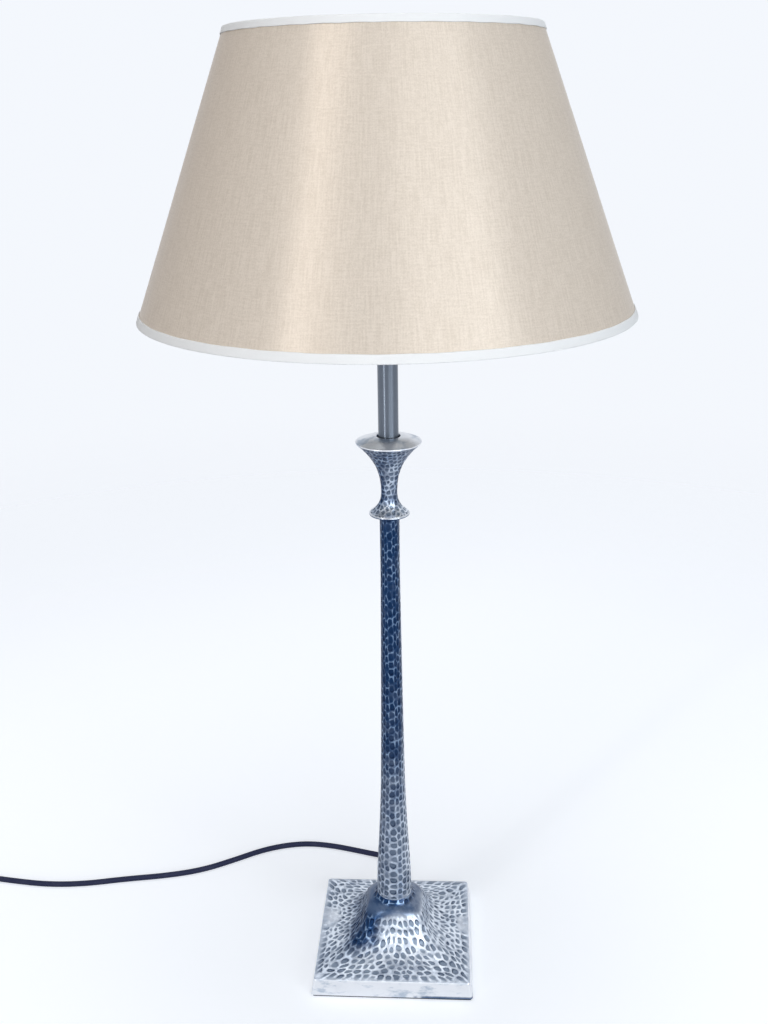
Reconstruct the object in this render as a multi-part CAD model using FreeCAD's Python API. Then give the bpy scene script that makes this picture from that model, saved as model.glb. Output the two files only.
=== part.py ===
# Candlestick table lamp: a hammered cast stand with a square foot, a brushed tube in the
# place of the candle, a ring-fitted tapered shade, and a round lead that runs to its plug.
# Millimetres, +Z up. The origin is on the table, under the middle of the foot.
# -Y is the front of the lamp, and the lead leaves at the back, +Y.

import FreeCAD, Part
import math
import os

Vector = FreeCAD.Vector
os.makedirs("parts", exist_ok=True)

# ---- Clearances ----
slip = 0.2                       # between pieces that are only stacked or threaded through
turning_gap = 0.06               # radial gap of pieces that turn or slide in each other
touch_gap = 0.1                  # between faces of pieces that move past each other
glue_gap = 0.05                  # between a wire and the sheet that it is glued to

# ---- Foot: one hollow casting on a felt ----
felt_thickness = 1.5
felt_inset = 1.0                 # the felt stops short of the skirt's outer face
foot_half_bottom = 77.5          # half the width of the square at the table
foot_half_top = 74.5             # the same at the skirt's upper edge
skirt_top = 18.0                 # height of the skirt's upper edge over the table
foot_corner = 2.5                # corner radius of the square
foot_rise = 39.0                 # from the skirt's upper edge to the shoulder
shoulder_half = 27.0             # half width of the shoulder that the column grows out of
shoulder_round = 2.0             # the shoulder draws in by this much up to its edge
root_rise = 9.0                  # from the shoulder to the joint with the column
foot_wall = 4.5                  # wall of the casting
spigot_height = 6.0              # ring on the foot that centres the column
# Share of the rise, share of the spread beyond the shoulder, and corner radius of the square.
foot_outline = [(0.0, 1.0, foot_corner), (0.05, 0.72, 10.0), (0.13, 0.47, 14.0),
                (0.28, 0.28, 15.0), (0.52, 0.13, 14.0), (0.82, 0.04, 14.0)]

# ---- Column ----
column_foot_radius = 17.0
column_top_radius = 8.7
column_height = 398.5
column_wall = 3.2
# Share of the height from foot to top, and share of the taper that is left there.
column_outline = [(0.0, 1.0), (0.07, 0.93), (0.15, 0.71), (0.22, 0.54), (0.29, 0.40),
                  (0.42, 0.27), (0.68, 0.10), (0.89, 0.0), (1.0, 0.01)]

# ---- Cup, neck and collar: one casting ----
collar_radius = 17.9
collar_edge = 1.8                # thickness of the collar's rim
collar_rise = 3.0                # from the column's top to the top of the collar's rim
neck_radius = 7.2
neck_rise = 19.0                 # from the collar's rim up to the narrowest place
cup_radius = 28.7
cup_height = 45.9                # from the narrowest place up to the rim
cup_edge = 1.3                   # thickness of the cup's lip
cup_rise = 4.6                   # the polished top rises this much towards the tube
cup_flare = 2.4                  # power of the trumpet curve
collar_flare = 2.6               # power of the curve over the collar
socket_gap = 1.45                # open gap round the tube
socket_depth = 12.4              # from the rim down to the floor that the tube stands on

# ---- Tube in the candle's place ----
tube_radius = 8.75
tube_wall = 1.2
tube_length = 172.0
bush_height = 8.0
tube_cap_radius = 10.0
tube_cap_height = 4.0
tube_cap_spigot = 5.0

# ---- Threaded rod that clamps the stack, with its nuts ----
rod_radius = 5.0
rod_bore_radius = 4.0
rod_above_holder = 8.0           # how far the rod reaches into the lamp holder
nut_flats = 17.0
nut_height = 8.0
thin_nut_height = 4.0
washer_radius = 15.0
washer_thickness = 1.6

# ---- Weight in the foot ----
weight_radius = 58.0
weight_bottom = 6.0
weight_plate = 8.0               # thickness of its plate
weight_neck_radius = 34.0        # the boss where it leaves the plate
weight_top_radius = 18.5
weight_pocket_radius = 16.5      # pocket from below, for washer, nut and lead
weight_pocket_depth = 36.0
lead_channel = 10.0              # width of the slot that the lead lies in

# ---- Lead ----
lead_radius = 3.0
lead_height = 9.5                # centre of the lead where it leaves the foot
sleeve_length = 20.0             # tapered sleeve outside the foot
sleeve_root_radius = 5.6
sleeve_tip_radius = 4.1
sleeve_flange_radius = 6.6
sleeve_flange = 1.6
sleeve_bore_gap = 0.08
inner_bend = 20.0                # bend radius of the lead under the rod
clamp_place = 40.0               # distance of the lead's clamp from the lamp's axis
clamp_length = 32.0
clamp_width = 10.0
clamp_thickness = 2.0
clamp_screw_spacing = 22.0
clamp_screw_radius = 1.9
clamp_head_radius = 3.4
clamp_head_height = 1.8
clamp_screw_depth = 5.0

# ---- Lamp holder, size 27 thread ----
holder_radius = 20.0
holder_wall = 2.0
holder_cap_height = 22.0
holder_cap_root_radius = 11.0
holder_body_height = 46.0
holder_insert_wall = 0.5         # threaded metal sleeve that takes the bulb
holder_floor = 6.0               # thickness of the body's floor, over the cap
holder_flange_radius = 27.0      # fixed flange that carries the shade
holder_flange_height = 18.0      # height of its upper face over the cap
holder_flange_thickness = 3.0
contact_radius = 3.5
switch_bar_radius = 2.5
switch_bar_length = 54.0
switch_bar_height = 14.0         # over the underside of the holder
switch_travel = 6.0

# ---- Bulb ----
bulb_thread_radius = 13.1
bulb_cap_length = 26.0
bulb_contact_radius = 4.5
bulb_contact_height = 1.5
bulb_radius = 30.0
bulb_length = 105.0              # from the contact to the top of the glass
bulb_neck_radius = 12.2
bulb_neck_flare = 0.4            # the neck widens by this much up to the holder's rim
bulb_wall = 1.0

# ---- Shade ----
shade_height = 215.5
shade_bottom_radius = 202.0
shade_top_radius = 121.0
fabric_thickness = 0.6
liner_thickness = 0.8
trim_thickness = 0.6
trim_bottom_width = 6.0
trim_top_width = 4.8
trim_fold = 2.5                  # how far the trim is turned in
shade_wire_radius = 1.6
shade_drop = 119.4               # from the shade's top down to the underside of its fitter
fitter_wire_radius = 2.0
fitter_ring_gap = 1.0            # play of the fitter's ring round the holder
fitter_ring_thickness = 2.0
fitter_weld = 4.5                # width of the ring outside the clamping ring
fitter_weld_depth = 0.3          # how deep the arms are pressed into the weld
fitter_flat = 46.0               # radius where the arms leave the level and rise
fitter_first_arm = 90.0          # degrees, the first of three arms points to the back
shade_ring_radius = 28.5
shade_ring_height = 10.0
shade_ring_foot = 3.0            # height of its wide foot
shade_ring_step = 3.0            # the grip is this much narrower than the foot
shade_ring_groove = 1.1          # radius of the grooves round the grip

# ---- Plug: flat body, two round pins ----
plug_half_width = 17.6
plug_half_height = 6.8
plug_length = 34.0
plug_nose_radius = 4.6
plug_nose_length = 12.0
pin_radius = 2.0
pin_length = 19.0
pin_spacing = 18.6
pin_embedded = 6.0

# ---- Heights and radii worked out from the sizes above ----
shoulder_height = skirt_top + foot_rise
root_height = shoulder_height + root_rise
column_top = root_height + column_height
collar_top = column_top + collar_rise
neck_height = collar_top + neck_rise
cup_rim_height = neck_height + cup_height
socket_radius = tube_radius + socket_gap
socket_floor = cup_rim_height - socket_depth
tube_top = socket_floor + tube_length
foot_back = foot_half_bottom - (foot_half_bottom - foot_half_top) * lead_height / skirt_top
rod_hole = rod_radius + slip
rod_bottom = lead_height + inner_bend
weight_plate_top = weight_bottom + weight_plate
weight_pocket_top = weight_bottom + weight_pocket_depth
shoulder_underside = shoulder_height - foot_wall
tube_cap_top = tube_top + tube_cap_height
holder_bottom = tube_cap_top + thin_nut_height
holder_body_bottom = holder_bottom + holder_cap_height
holder_top = holder_body_bottom + holder_body_height
flange_top = holder_body_bottom + holder_flange_height
insert_radius = bulb_thread_radius + turning_gap
insert_bottom = holder_body_bottom + holder_floor
fitter_bottom = flange_top + touch_gap
fitter_top = fitter_bottom + fitter_ring_thickness
fitter_ring_outer = shade_ring_radius + fitter_weld
shade_ring_bottom = fitter_top + touch_gap
shade_top = fitter_bottom + shade_drop
shade_bottom = shade_top - shade_height
top_wire_height = shade_top - trim_fold - 2.0 * shade_wire_radius
shade_slope = (shade_bottom_radius - shade_top_radius) / shade_height
shade_cosine = 1.0 / math.hypot(1.0, shade_slope)
contact_height = 3.0             # spring contact under the bulb
bulb_bottom = insert_bottom + contact_height + touch_gap

# ---- The lead's route on the table ----
# From the end of the sleeve round the back to the left, as it lies behind the foot.
lead_route = [
    (0.0, foot_back + sleeve_length, lead_height), (0.0, 107.9, lead_height),
    (-4.0, 119.0, 8.4), (-11.6, 128.0, 6.4), (-21.8, 134.0, 4.4), (-37.0, 139.5, 3.2),
    (-58.0, 146.0, 3.0), (-82.0, 152.0, 3.0), (-108.0, 154.5, 3.0), (-134.0, 150.0, 3.0),
    (-160.0, 139.5, 3.0), (-188.0, 121.5, 3.0), (-220.0, 103.0, 3.0), (-258.0, 92.0, 3.0),
    (-303.0, 84.5, 3.0), (-345.0, 75.0, 3.0), (-385.0, 72.5, 3.0), (-424.0, 77.0, 3.0),
    (-460.0, 83.0, 3.0), (-486.0, 84.6, 3.0), (-508.0, 84.6, 3.0)]

# ---- The neat coil of the spare length, beyond the left of the lamp ----
coil_inner_radius = 25.0
coil_pitch = 6.7                 # from turn to turn and from layer to layer
coil_turns_in = 2.5              # turns that spiral in, in the lower layer
coil_turns_out = 2.25            # turns that spiral out again, in the upper layer
coil_climb = 0.5                 # share of a turn that climbs from layer to layer
coil_end_straight = 2.0 * lead_radius
coil_start_angle = 90.0          # degrees, where the lead comes in


def point(x, y, z=0.0):
    return Vector(x, y, z)


def write(shape, node):
    shape.exportStep("parts/%s.step" % node)
    print("%-20s %8.1f cm3  valid %s" % (node, shape.Volume / 1000.0, shape.isValid()))


def revolved(outline):
    """Solid of an outline of (radius, height) points and of edges between them."""
    edges = []
    last = None
    for item in outline:
        if isinstance(item, tuple):
            here = point(item[0], 0.0, item[1])
            if last is not None and last.distanceToPoint(here) > 1e-6:
                edges.append(Part.LineSegment(last, here).toShape())
            last = here
        else:
            curve = item.toShape()
            edges.append(curve)
            last = item.value(item.LastParameter)
    first = point(outline[0][0], 0.0, outline[0][1])
    if last.distanceToPoint(first) > 1e-6:
        edges.append(Part.LineSegment(last, first).toShape())
    face = Part.Face(Part.Wire(edges))
    return face.revolve(point(0, 0, 0), point(0, 0, 1), 360)


def smooth_line(places):
    """Smooth curve through (radius, height) places."""
    curve = Part.BSplineCurve()
    curve.interpolate([point(radius, 0.0, height) for radius, height in places])
    return curve


def ring(inner, outer, bottom, top):
    body = Part.makeCylinder(outer, top - bottom, point(0, 0, bottom))
    return body.cut(Part.makeCylinder(inner, top - bottom, point(0, 0, bottom)))


def rounded_square(half, corner, height):
    """Closed wire of a level square with rounded corners."""
    flat = half - corner
    edges = []
    for turn in range(4):
        angle = math.radians(90 * turn)
        middle = angle + math.radians(45)
        side = Vector(math.cos(angle), math.sin(angle), 0)
        along = Vector(-math.sin(angle), math.cos(angle), 0)
        lift = Vector(0, 0, height)
        low = side * half - along * flat + lift
        high = side * half + along * flat + lift
        centre = side * flat + along * flat + lift
        mid = centre + Vector(math.cos(middle), math.sin(middle), 0) * corner
        end = along * half + side * flat + lift
        edges.append(Part.LineSegment(low, high).toShape())
        edges.append(Part.Arc(high, mid, end).toShape())
    return Part.Wire(edges)


def lofted(sections, ruled=False):
    wires = [rounded_square(half, corner, height) for half, corner, height in sections]
    return Part.makeLoft(wires, True, ruled)


def hexagon(flats, bottom, height, bore):
    reach = flats / 2.0 / math.cos(math.radians(30))
    corners = []
    for side in range(7):
        angle = math.radians(60 * side)
        corners.append(point(reach * math.cos(angle), reach * math.sin(angle), bottom))
    body = Part.Face(Part.makePolygon(corners)).extrude(Vector(0, 0, height))
    return body.cut(Part.makeCylinder(bore, height, point(0, 0, bottom)))


def swept(edges, radius):
    """Round tube along joined edges, with its volume set against section times length."""
    path = Part.Wire(edges)
    start = path.OrderedEdges[0]
    direction = start.tangentAt(start.FirstParameter)
    section = Part.Wire(Part.makeCircle(radius, start.valueAt(start.FirstParameter), direction))
    tube = path.makePipeShell([section], True, False)
    share = tube.Volume / (math.pi * radius ** 2 * path.Length)
    return tube, path.Length, share


def rounded_route(route):
    """Straight runs and tangent arcs, each arc as large as its two runs allow."""
    corners = [Vector(*place) for place in route]
    edges = []
    radii = []
    last = corners[0]
    for index in range(1, len(corners) - 1):
        here = corners[index]
        before = corners[index - 1] - here
        after = corners[index + 1] - here
        half_turn = (math.pi - before.getAngle(after)) / 2.0
        reach = 0.45 * min(before.Length, after.Length)
        radius = reach / math.tan(half_turn)
        radii.append(radius)
        before.normalize()
        after.normalize()
        start = here + before * reach
        end = here + after * reach
        inward = before + after
        inward.normalize()
        middle = here + inward * (radius / math.cos(half_turn) - radius)
        edges.append(Part.LineSegment(last, start).toShape())
        edges.append(Part.Arc(start, middle, end).toShape())
        last = end
    edges.append(Part.LineSegment(last, corners[-1]).toShape())
    return edges, radii


def free_lead(route, name):
    edges, radii = rounded_route(route)
    tube, length, share = swept(edges, lead_radius)
    print(name, "radii", " ".join("%.0f" % radius for radius in radii))
    print(name, "length %.1f, volume share %.4f" % (length, share))
    return tube, length


def arc_from(start, direction, end):
    """Arc from start, along direction there, to end."""
    chord = end - start
    side = chord - direction * chord.dot(direction)
    side.normalize()
    radius = chord.Length ** 2 / (2.0 * side.dot(chord))
    centre = start + side * radius
    outward = (start - centre) + (end - centre)
    outward.normalize()
    return Part.Arc(start, centre + outward * radius, end).toShape()


def biarc(start, start_way, end, end_way):
    """Two arcs that leave start and reach end in the directions given."""
    chord = end - start
    ways = start_way + end_way
    square = 2.0 - 2.0 * start_way.dot(end_way)
    linear = 2.0 * chord.dot(ways)
    constant = -chord.dot(chord)
    if abs(square) < 1e-9:
        reach = -constant / linear
    else:
        reach = (math.sqrt(linear ** 2 - 4.0 * square * constant) - linear) / (2.0 * square)
    middle = ((start + start_way * reach) + (end - end_way * reach)) * 0.5
    back = arc_from(end, end_way * -1.0, middle)
    return [arc_from(start, start_way, middle), back]


def coil_place(turn):
    """Place and direction on the coil's centre line after so many turns, before it is moved.

    The turns spiral in at a steady rate to the middle of the climb and out again after it.
    """
    middle = coil_turns_in + coil_climb / 2.0
    radius = coil_inner_radius + coil_pitch * abs(turn - middle)
    away = (turn > middle) - (turn < middle)
    share = min(max((turn - coil_turns_in) / coil_climb, 0.0), 1.0)
    if share < 0.5:
        rise = 2.0 * share ** 2
    else:
        rise = 1.0 - 2.0 * (1.0 - share) ** 2
    steepness = coil_pitch / coil_climb * 4.0 * min(share, 1.0 - share)
    angle = math.radians(coil_start_angle) + 2.0 * math.pi * turn
    outward = Vector(math.cos(angle), math.sin(angle), 0)
    along = Vector(-math.sin(angle), math.cos(angle), 0)
    way = along * (2.0 * math.pi * radius) + outward * (coil_pitch * away)
    way = way + Vector(0, 0, steepness)
    way.normalize()
    return outward * radius + Vector(0, 0, lead_radius + coil_pitch * rise), way


# ---- Foot ----
def foot_sections(inset, drop):
    """Rounded squares from the skirt's edge up to the shoulder, set in by a wall."""
    spread = foot_half_top - shoulder_half
    sections = []
    for height_share, spread_share, corner in foot_outline:
        half = shoulder_half + spread * spread_share - inset
        height = skirt_top + foot_rise * height_share - drop
        sections.append((half, min(corner, 0.9 * half), height))
    return sections


def make_foot():
    skirt = lofted([(foot_half_bottom, foot_corner, felt_thickness),
                    (foot_half_top, foot_corner, skirt_top)], True)
    rising = foot_sections(0.0, 0.0)
    root_half = column_foot_radius + 0.3 * (shoulder_half - column_foot_radius)
    rising.append((shoulder_half - shoulder_round, 0.62 * shoulder_half, shoulder_height))
    rising.append((root_half, 0.96 * root_half, 0.5 * (shoulder_height + root_height)))
    rising.append((column_foot_radius, 0.995 * column_foot_radius, root_height))
    body = skirt.fuse(lofted(rising)).removeSplitter()
    hollow_skirt = lofted([(foot_half_bottom - foot_wall, foot_corner, felt_thickness),
                           (foot_half_top - foot_wall, foot_corner, skirt_top - foot_wall)], True)
    hollow_rise = foot_sections(foot_wall, foot_wall)
    hollow_half = shoulder_half - shoulder_round - foot_wall
    hollow_rise.append((hollow_half, 0.62 * hollow_half, shoulder_underside))
    body = body.cut(hollow_skirt).cut(lofted(hollow_rise))
    spigot_radius = column_foot_radius - column_wall - slip
    body = body.fuse(Part.makeCylinder(spigot_radius, spigot_height, point(0, 0, root_height)))
    body = body.cut(Part.makeCylinder(rod_hole, root_height, point(0, 0, weight_bottom)
                                      + Vector(0, 0, spigot_height)))
    lead_hole = Part.makeCylinder(sleeve_root_radius, 3.0 * foot_wall,
                                  point(0, foot_half_top - 2.0 * foot_wall, lead_height),
                                  Vector(0, 1, 0))
    return body.cut(lead_hole)


def make_felt():
    outer = lofted([(foot_half_bottom - felt_inset, foot_corner, 0.0),
                    (foot_half_bottom - felt_inset, foot_corner, felt_thickness)], True)
    return outer


def make_weight():
    boss_top = shoulder_underside - slip
    body = revolved([(0.0, weight_bottom), (weight_radius, weight_bottom),
                     (weight_radius, weight_plate_top), (weight_neck_radius, weight_plate_top),
                     (weight_top_radius, boss_top), (0.0, boss_top)])
    pocket = Part.makeCylinder(weight_pocket_radius, weight_pocket_top - weight_bottom,
                               point(0, 0, weight_bottom))
    hole = Part.makeCylinder(rod_hole, boss_top, point(0, 0, weight_bottom))
    channel = Part.makeBox(lead_channel, weight_radius + 1.0, weight_plate_top - weight_bottom,
                           point(-lead_channel / 2.0, 0.0, weight_bottom))
    body = body.cut(pocket).cut(hole).cut(channel)
    for side in (-1, 1):
        place = point(side * clamp_screw_spacing / 2.0, clamp_place, weight_bottom)
        body = body.cut(Part.makeCylinder(clamp_screw_radius, clamp_screw_depth, place))
    return body


def make_clamp():
    bottom = weight_bottom - clamp_thickness
    strap = Part.makeBox(clamp_length, clamp_width, clamp_thickness,
                         point(-clamp_length / 2.0, clamp_place - clamp_width / 2.0, bottom))
    saddle_width = lead_channel - 2.0 * slip
    saddle = Part.makeBox(saddle_width, clamp_width, lead_height - lead_radius - weight_bottom,
                          point(-saddle_width / 2.0, clamp_place - clamp_width / 2.0,
                                weight_bottom))
    strap = strap.fuse(saddle)
    for side in (-1, 1):
        place = point(side * clamp_screw_spacing / 2.0, clamp_place, bottom)
        strap = strap.cut(Part.makeCylinder(clamp_screw_radius, clamp_thickness, place))
    return strap.removeSplitter()


def make_clamp_screws():
    bottom = weight_bottom - clamp_thickness
    screws = []
    for side in (-1, 1):
        x = side * clamp_screw_spacing / 2.0
        head = Part.makeCylinder(clamp_head_radius, clamp_head_height,
                                 point(x, clamp_place, bottom - clamp_head_height))
        shank = Part.makeCylinder(clamp_screw_radius, clamp_thickness + clamp_screw_depth,
                                  point(x, clamp_place, bottom))
        screws.append(head.fuse(shank))
    return Part.makeCompound(screws)


def make_sleeve():
    """Rubber bush in the skirt, with the tapered sleeve that guards the lead's bend."""
    inside = foot_half_top - foot_wall
    tip = foot_back + sleeve_length
    bore = lead_radius + sleeve_bore_gap
    body = revolved([(bore, inside - sleeve_flange), (sleeve_flange_radius, inside - sleeve_flange),
                     (sleeve_flange_radius, inside - slip), (sleeve_root_radius - slip, inside - slip),
                     (sleeve_root_radius - slip, foot_back + 2.0),
                     (sleeve_tip_radius, tip), (bore, tip)])
    body.rotate(point(0, 0, 0), Vector(1, 0, 0), -90)
    body.translate(Vector(0, 0, lead_height))
    # The flange is flat on top, where the underside of the foot's plate comes down to the skirt.
    ceiling = skirt_top - foot_wall - slip
    above = Part.makeBox(2.0 * sleeve_flange_radius, sleeve_flange + slip, sleeve_flange_radius,
                         point(-sleeve_flange_radius, inside - slip - sleeve_flange, ceiling))
    return body.cut(above)


def make_inner_lead():
    """The lead from the sleeve's end through the clamp, up the rod and into the holder."""
    start = point(0, foot_back + sleeve_length, lead_height)
    bend_start = point(0, inner_bend, lead_height)
    centre = point(0, inner_bend, lead_height + inner_bend)
    diagonal = inner_bend / math.sqrt(2.0)
    bend_middle = centre + Vector(0, -diagonal, -diagonal)
    bend_end = point(0, 0, lead_height + inner_bend)
    top = point(0, 0, holder_bottom + rod_above_holder)
    edges = [Part.LineSegment(start, bend_start).toShape(),
             Part.Arc(bend_start, bend_middle, bend_end).toShape(),
             Part.LineSegment(bend_end, top).toShape()]
    tube, length, share = swept(edges, lead_radius)
    print("inner_lead length %.1f, volume share %.4f" % (length, share))
    return tube


# ---- Column and cup ----
def make_column():
    height = column_top - root_height
    taper = column_foot_radius - column_top_radius
    outside = [(column_top_radius + taper * left, root_height + height * share)
               for share, left in column_outline]
    inside_foot = column_foot_radius - column_wall
    bore = rod_hole + slip
    step = root_height + spigot_height + slip
    return revolved([(inside_foot, root_height), (column_foot_radius, root_height),
                     smooth_line(outside),
                     (bore, column_top), (bore, root_height + 0.6 * height),
                     (inside_foot, step)])


def make_cup():
    """Collar, neck and trumpet cup, with the socket that the tube stands in."""
    outside = []
    for share in (1.0, 0.75, 0.5, 0.25):
        radius = neck_radius + (collar_radius - neck_radius) * share ** collar_flare
        outside.append((radius, neck_height - (neck_height - collar_top) * share))
    lip_bottom = cup_rim_height - cup_edge
    for share in (0.0, 0.25, 0.5, 0.7, 0.85, 1.0):
        radius = neck_radius + (cup_radius - neck_radius) * share ** cup_flare
        outside.append((radius, neck_height + (lip_bottom - neck_height) * share))
    collar_bottom = collar_top - collar_edge
    middle = 0.5 * (cup_radius + socket_radius)
    dome = Part.Arc(point(cup_radius, 0, cup_rim_height),
                    point(middle, 0, cup_rim_height + 0.62 * cup_rise),
                    point(socket_radius, 0, cup_rim_height + cup_rise))
    return revolved([(rod_hole, column_top), (column_top_radius, column_top),
                     (collar_radius, collar_bottom), (collar_radius, collar_top),
                     smooth_line(outside), (cup_radius, cup_rim_height), dome,
                     (socket_radius, socket_floor), (rod_hole, socket_floor)])


# ---- Tube and the stack over it ----
def make_tube_cap():
    inside = tube_radius - tube_wall - slip
    return revolved([(rod_hole, tube_top - tube_cap_spigot), (inside, tube_top - tube_cap_spigot),
                     (inside, tube_top), (tube_cap_radius, tube_top),
                     (tube_cap_radius, tube_cap_top - 1.0), (tube_cap_radius - 1.0, tube_cap_top),
                     (rod_hole, tube_cap_top)])


def make_rod():
    return ring(rod_bore_radius, rod_radius, rod_bottom, holder_bottom + rod_above_holder)


def make_washer():
    return ring(rod_hole, washer_radius, weight_pocket_top - washer_thickness, weight_pocket_top)


# ---- Lamp holder ----
def make_holder_cap():
    """Domed lower half of the holder, with the holes that the switch bar slides in."""
    top = holder_body_bottom
    side_bottom = holder_bottom + 0.5 * holder_cap_height
    bend_radius = 0.5 * (holder_cap_root_radius + holder_radius) + 1.6
    bend_height = 0.5 * (holder_bottom + side_bottom) - 1.6
    dome = Part.Arc(point(holder_cap_root_radius, 0, holder_bottom),
                    point(bend_radius, 0, bend_height), point(holder_radius, 0, side_bottom))
    floor = holder_bottom + 1.5 * holder_wall
    inner_dome = Part.Arc(point(holder_radius - holder_wall, 0, side_bottom),
                          point(bend_radius - 1.3 * holder_wall, 0, bend_height + holder_wall),
                          point(holder_cap_root_radius - holder_wall, 0, floor))
    body = revolved([(rod_radius, holder_bottom), (holder_cap_root_radius, holder_bottom), dome,
                     (holder_radius, top), (holder_radius - holder_wall, top),
                     (holder_radius - holder_wall, side_bottom), inner_dome,
                     (rod_radius, floor)])
    hole = Part.makeCylinder(switch_bar_radius + turning_gap, 3.0 * holder_radius,
                             point(-1.5 * holder_radius, 0, holder_bottom + switch_bar_height),
                             Vector(1, 0, 0))
    return body.cut(hole)


def make_holder_body():
    sleeve_outside = insert_radius + holder_insert_wall
    flange_bottom = flange_top - holder_flange_thickness
    body = revolved([(0.0, holder_body_bottom), (holder_radius, holder_body_bottom),
                     (holder_radius, flange_bottom), (holder_flange_radius, flange_bottom),
                     (holder_flange_radius, flange_top), (holder_radius, flange_top),
                     (holder_radius, holder_top - 1.0), (holder_radius - 1.0, holder_top),
                     (sleeve_outside, holder_top), (sleeve_outside, insert_bottom),
                     (0.0, insert_bottom)])
    return body


def make_holder_sleeve():
    """Threaded metal sleeve of the holder; its thread is left plain."""
    return ring(insert_radius, insert_radius + holder_insert_wall, insert_bottom,
                holder_top - 1.5)


def make_contact():
    return Part.makeCylinder(contact_radius, contact_height, point(0, 0, insert_bottom))


def make_switch_bar():
    start = -switch_bar_length / 2.0 + switch_travel / 2.0
    height = holder_bottom + switch_bar_height
    bar = Part.makeCylinder(switch_bar_radius, switch_bar_length, point(start, 0, height),
                            Vector(1, 0, 0))
    ends = [edge for edge in bar.Edges if edge.Length > switch_bar_radius * 6.0
            and edge.Length < switch_bar_radius * 7.0]
    return bar.makeFillet(0.4 * switch_bar_radius, ends)


def make_shade_ring():
    """Threaded ring that clamps the shade, with a wide foot and a gripped upper part."""
    grip_radius = shade_ring_radius - shade_ring_step
    foot_top = shade_ring_bottom + shade_ring_foot
    top = shade_ring_bottom + shade_ring_height
    bore = holder_radius + turning_gap
    body = revolved([(bore, shade_ring_bottom), (shade_ring_radius, shade_ring_bottom),
                     (shade_ring_radius, foot_top), (grip_radius, foot_top),
                     (grip_radius, top), (bore, top)])
    for turn in range(0, 360, 30):
        angle = math.radians(turn)
        place = point(grip_radius * math.cos(angle), grip_radius * math.sin(angle), foot_top)
        body = body.cut(Part.makeCylinder(shade_ring_groove, top - foot_top, place))
    return body


# ---- Bulb ----
def make_bulb_cap():
    thread_bottom = bulb_bottom + bulb_contact_height
    return revolved([(0.0, bulb_bottom), (bulb_contact_radius, bulb_bottom),
                     (bulb_contact_radius, thread_bottom), (bulb_thread_radius - 2.5, thread_bottom),
                     (bulb_thread_radius, thread_bottom + 3.5),
                     (bulb_thread_radius, bulb_bottom + bulb_cap_length),
                     (0.0, bulb_bottom + bulb_cap_length)])


def make_bulb_glass():
    """Pear-shaped glass: a round crown that draws in to the neck."""
    bottom = bulb_bottom + bulb_cap_length
    top = bulb_bottom + bulb_length

    def pear(inset, low):
        radius = bulb_radius - inset
        neck = bulb_neck_radius - inset
        centre = top - bulb_radius
        diagonal = radius / math.sqrt(2.0)
        crown = Part.Arc(point(radius, 0, centre), point(diagonal, 0, centre + diagonal),
                         point(0, 0, centre + radius))
        widest = neck + bulb_neck_flare
        rim = holder_top + slip
        rise = centre - rim
        side = smooth_line([(widest, rim), (widest + 0.2 * (radius - widest), rim + 0.22 * rise),
                            (widest + 0.72 * (radius - widest), rim + 0.6 * rise),
                            (radius, centre)])
        return revolved([(0.0, low), (neck, low), (widest, rim), side, crown])

    outside = pear(0.0, bottom)
    inside = pear(bulb_wall, bottom + bulb_wall)
    return outside.cut(inside)


# ---- Shade ----
def cone_radius(height, inset):
    """Radius of the shade's sheet at a height, inset square to the sheet."""
    return shade_bottom_radius - shade_slope * (height - shade_bottom) - inset / shade_cosine


def cone_shell(bottom, top, outer_inset, inner_inset):
    return revolved([(cone_radius(bottom, outer_inset), bottom),
                     (cone_radius(top, outer_inset), top),
                     (cone_radius(top, inner_inset), top),
                     (cone_radius(bottom, inner_inset), bottom)])


def make_trim(edge, width, inward):
    """Tape folded over the sheet's edge: outside, over the edge and a little way inside.

    inward is 1 where the sheet lies above the edge and -1 where it lies below.
    """
    sheet = fabric_thickness + liner_thickness
    outer = -trim_thickness
    inner = sheet + trim_thickness
    over = edge - inward * trim_thickness
    outside_end = edge + inward * width
    inside_end = edge + inward * trim_fold
    return revolved([(cone_radius(over, outer), over), (cone_radius(outside_end, outer), outside_end),
                     (cone_radius(outside_end, 0.0), outside_end), (cone_radius(edge, 0.0), edge),
                     (cone_radius(edge, sheet), edge), (cone_radius(inside_end, sheet), inside_end),
                     (cone_radius(inside_end, inner), inside_end), (cone_radius(over, inner), over)])


def wire_radius(height):
    """Radius of a wire's centre line, where the wire lies against the lining."""
    return cone_radius(height, fabric_thickness + liner_thickness + shade_wire_radius + glue_gap)


def make_top_wire():
    return Part.makeTorus(wire_radius(top_wire_height), shade_wire_radius,
                          point(0, 0, top_wire_height))


def make_bottom_wire():
    height = shade_bottom + trim_fold + 2.0 * shade_wire_radius
    return Part.makeTorus(wire_radius(height), shade_wire_radius, point(0, 0, height))


def make_fitter_ring():
    return ring(holder_radius + fitter_ring_gap, fitter_ring_outer, fitter_bottom, fitter_top)


def make_fitter_arms():
    """Three wires that lie on the ring outside the clamping ring and rise to the top wire."""
    level = fitter_top + fitter_wire_radius - fitter_weld_depth
    start = shade_ring_radius + fitter_weld_depth
    corner = Vector(fitter_flat, 0, level)
    rising = Vector(wire_radius(top_wire_height), 0, top_wire_height) - corner
    end = corner + rising * (1.0 - 0.5 * shade_wire_radius / rising.Length)
    edges, _ = rounded_route([(start, 0.0, level), (fitter_flat, 0.0, level),
                              (end.x, end.y, end.z)])
    arm, _, _ = swept(edges, fitter_wire_radius)
    arm = arm.cut(make_fitter_ring()).cut(make_top_wire())
    arms = []
    for turn in (0.0, 120.0, 240.0):
        turned = arm.copy()
        turned.rotate(point(0, 0, 0), Vector(0, 0, 1), fitter_first_arm + turn)
        arms.append(turned)
    return Part.makeCompound(arms)


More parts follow.
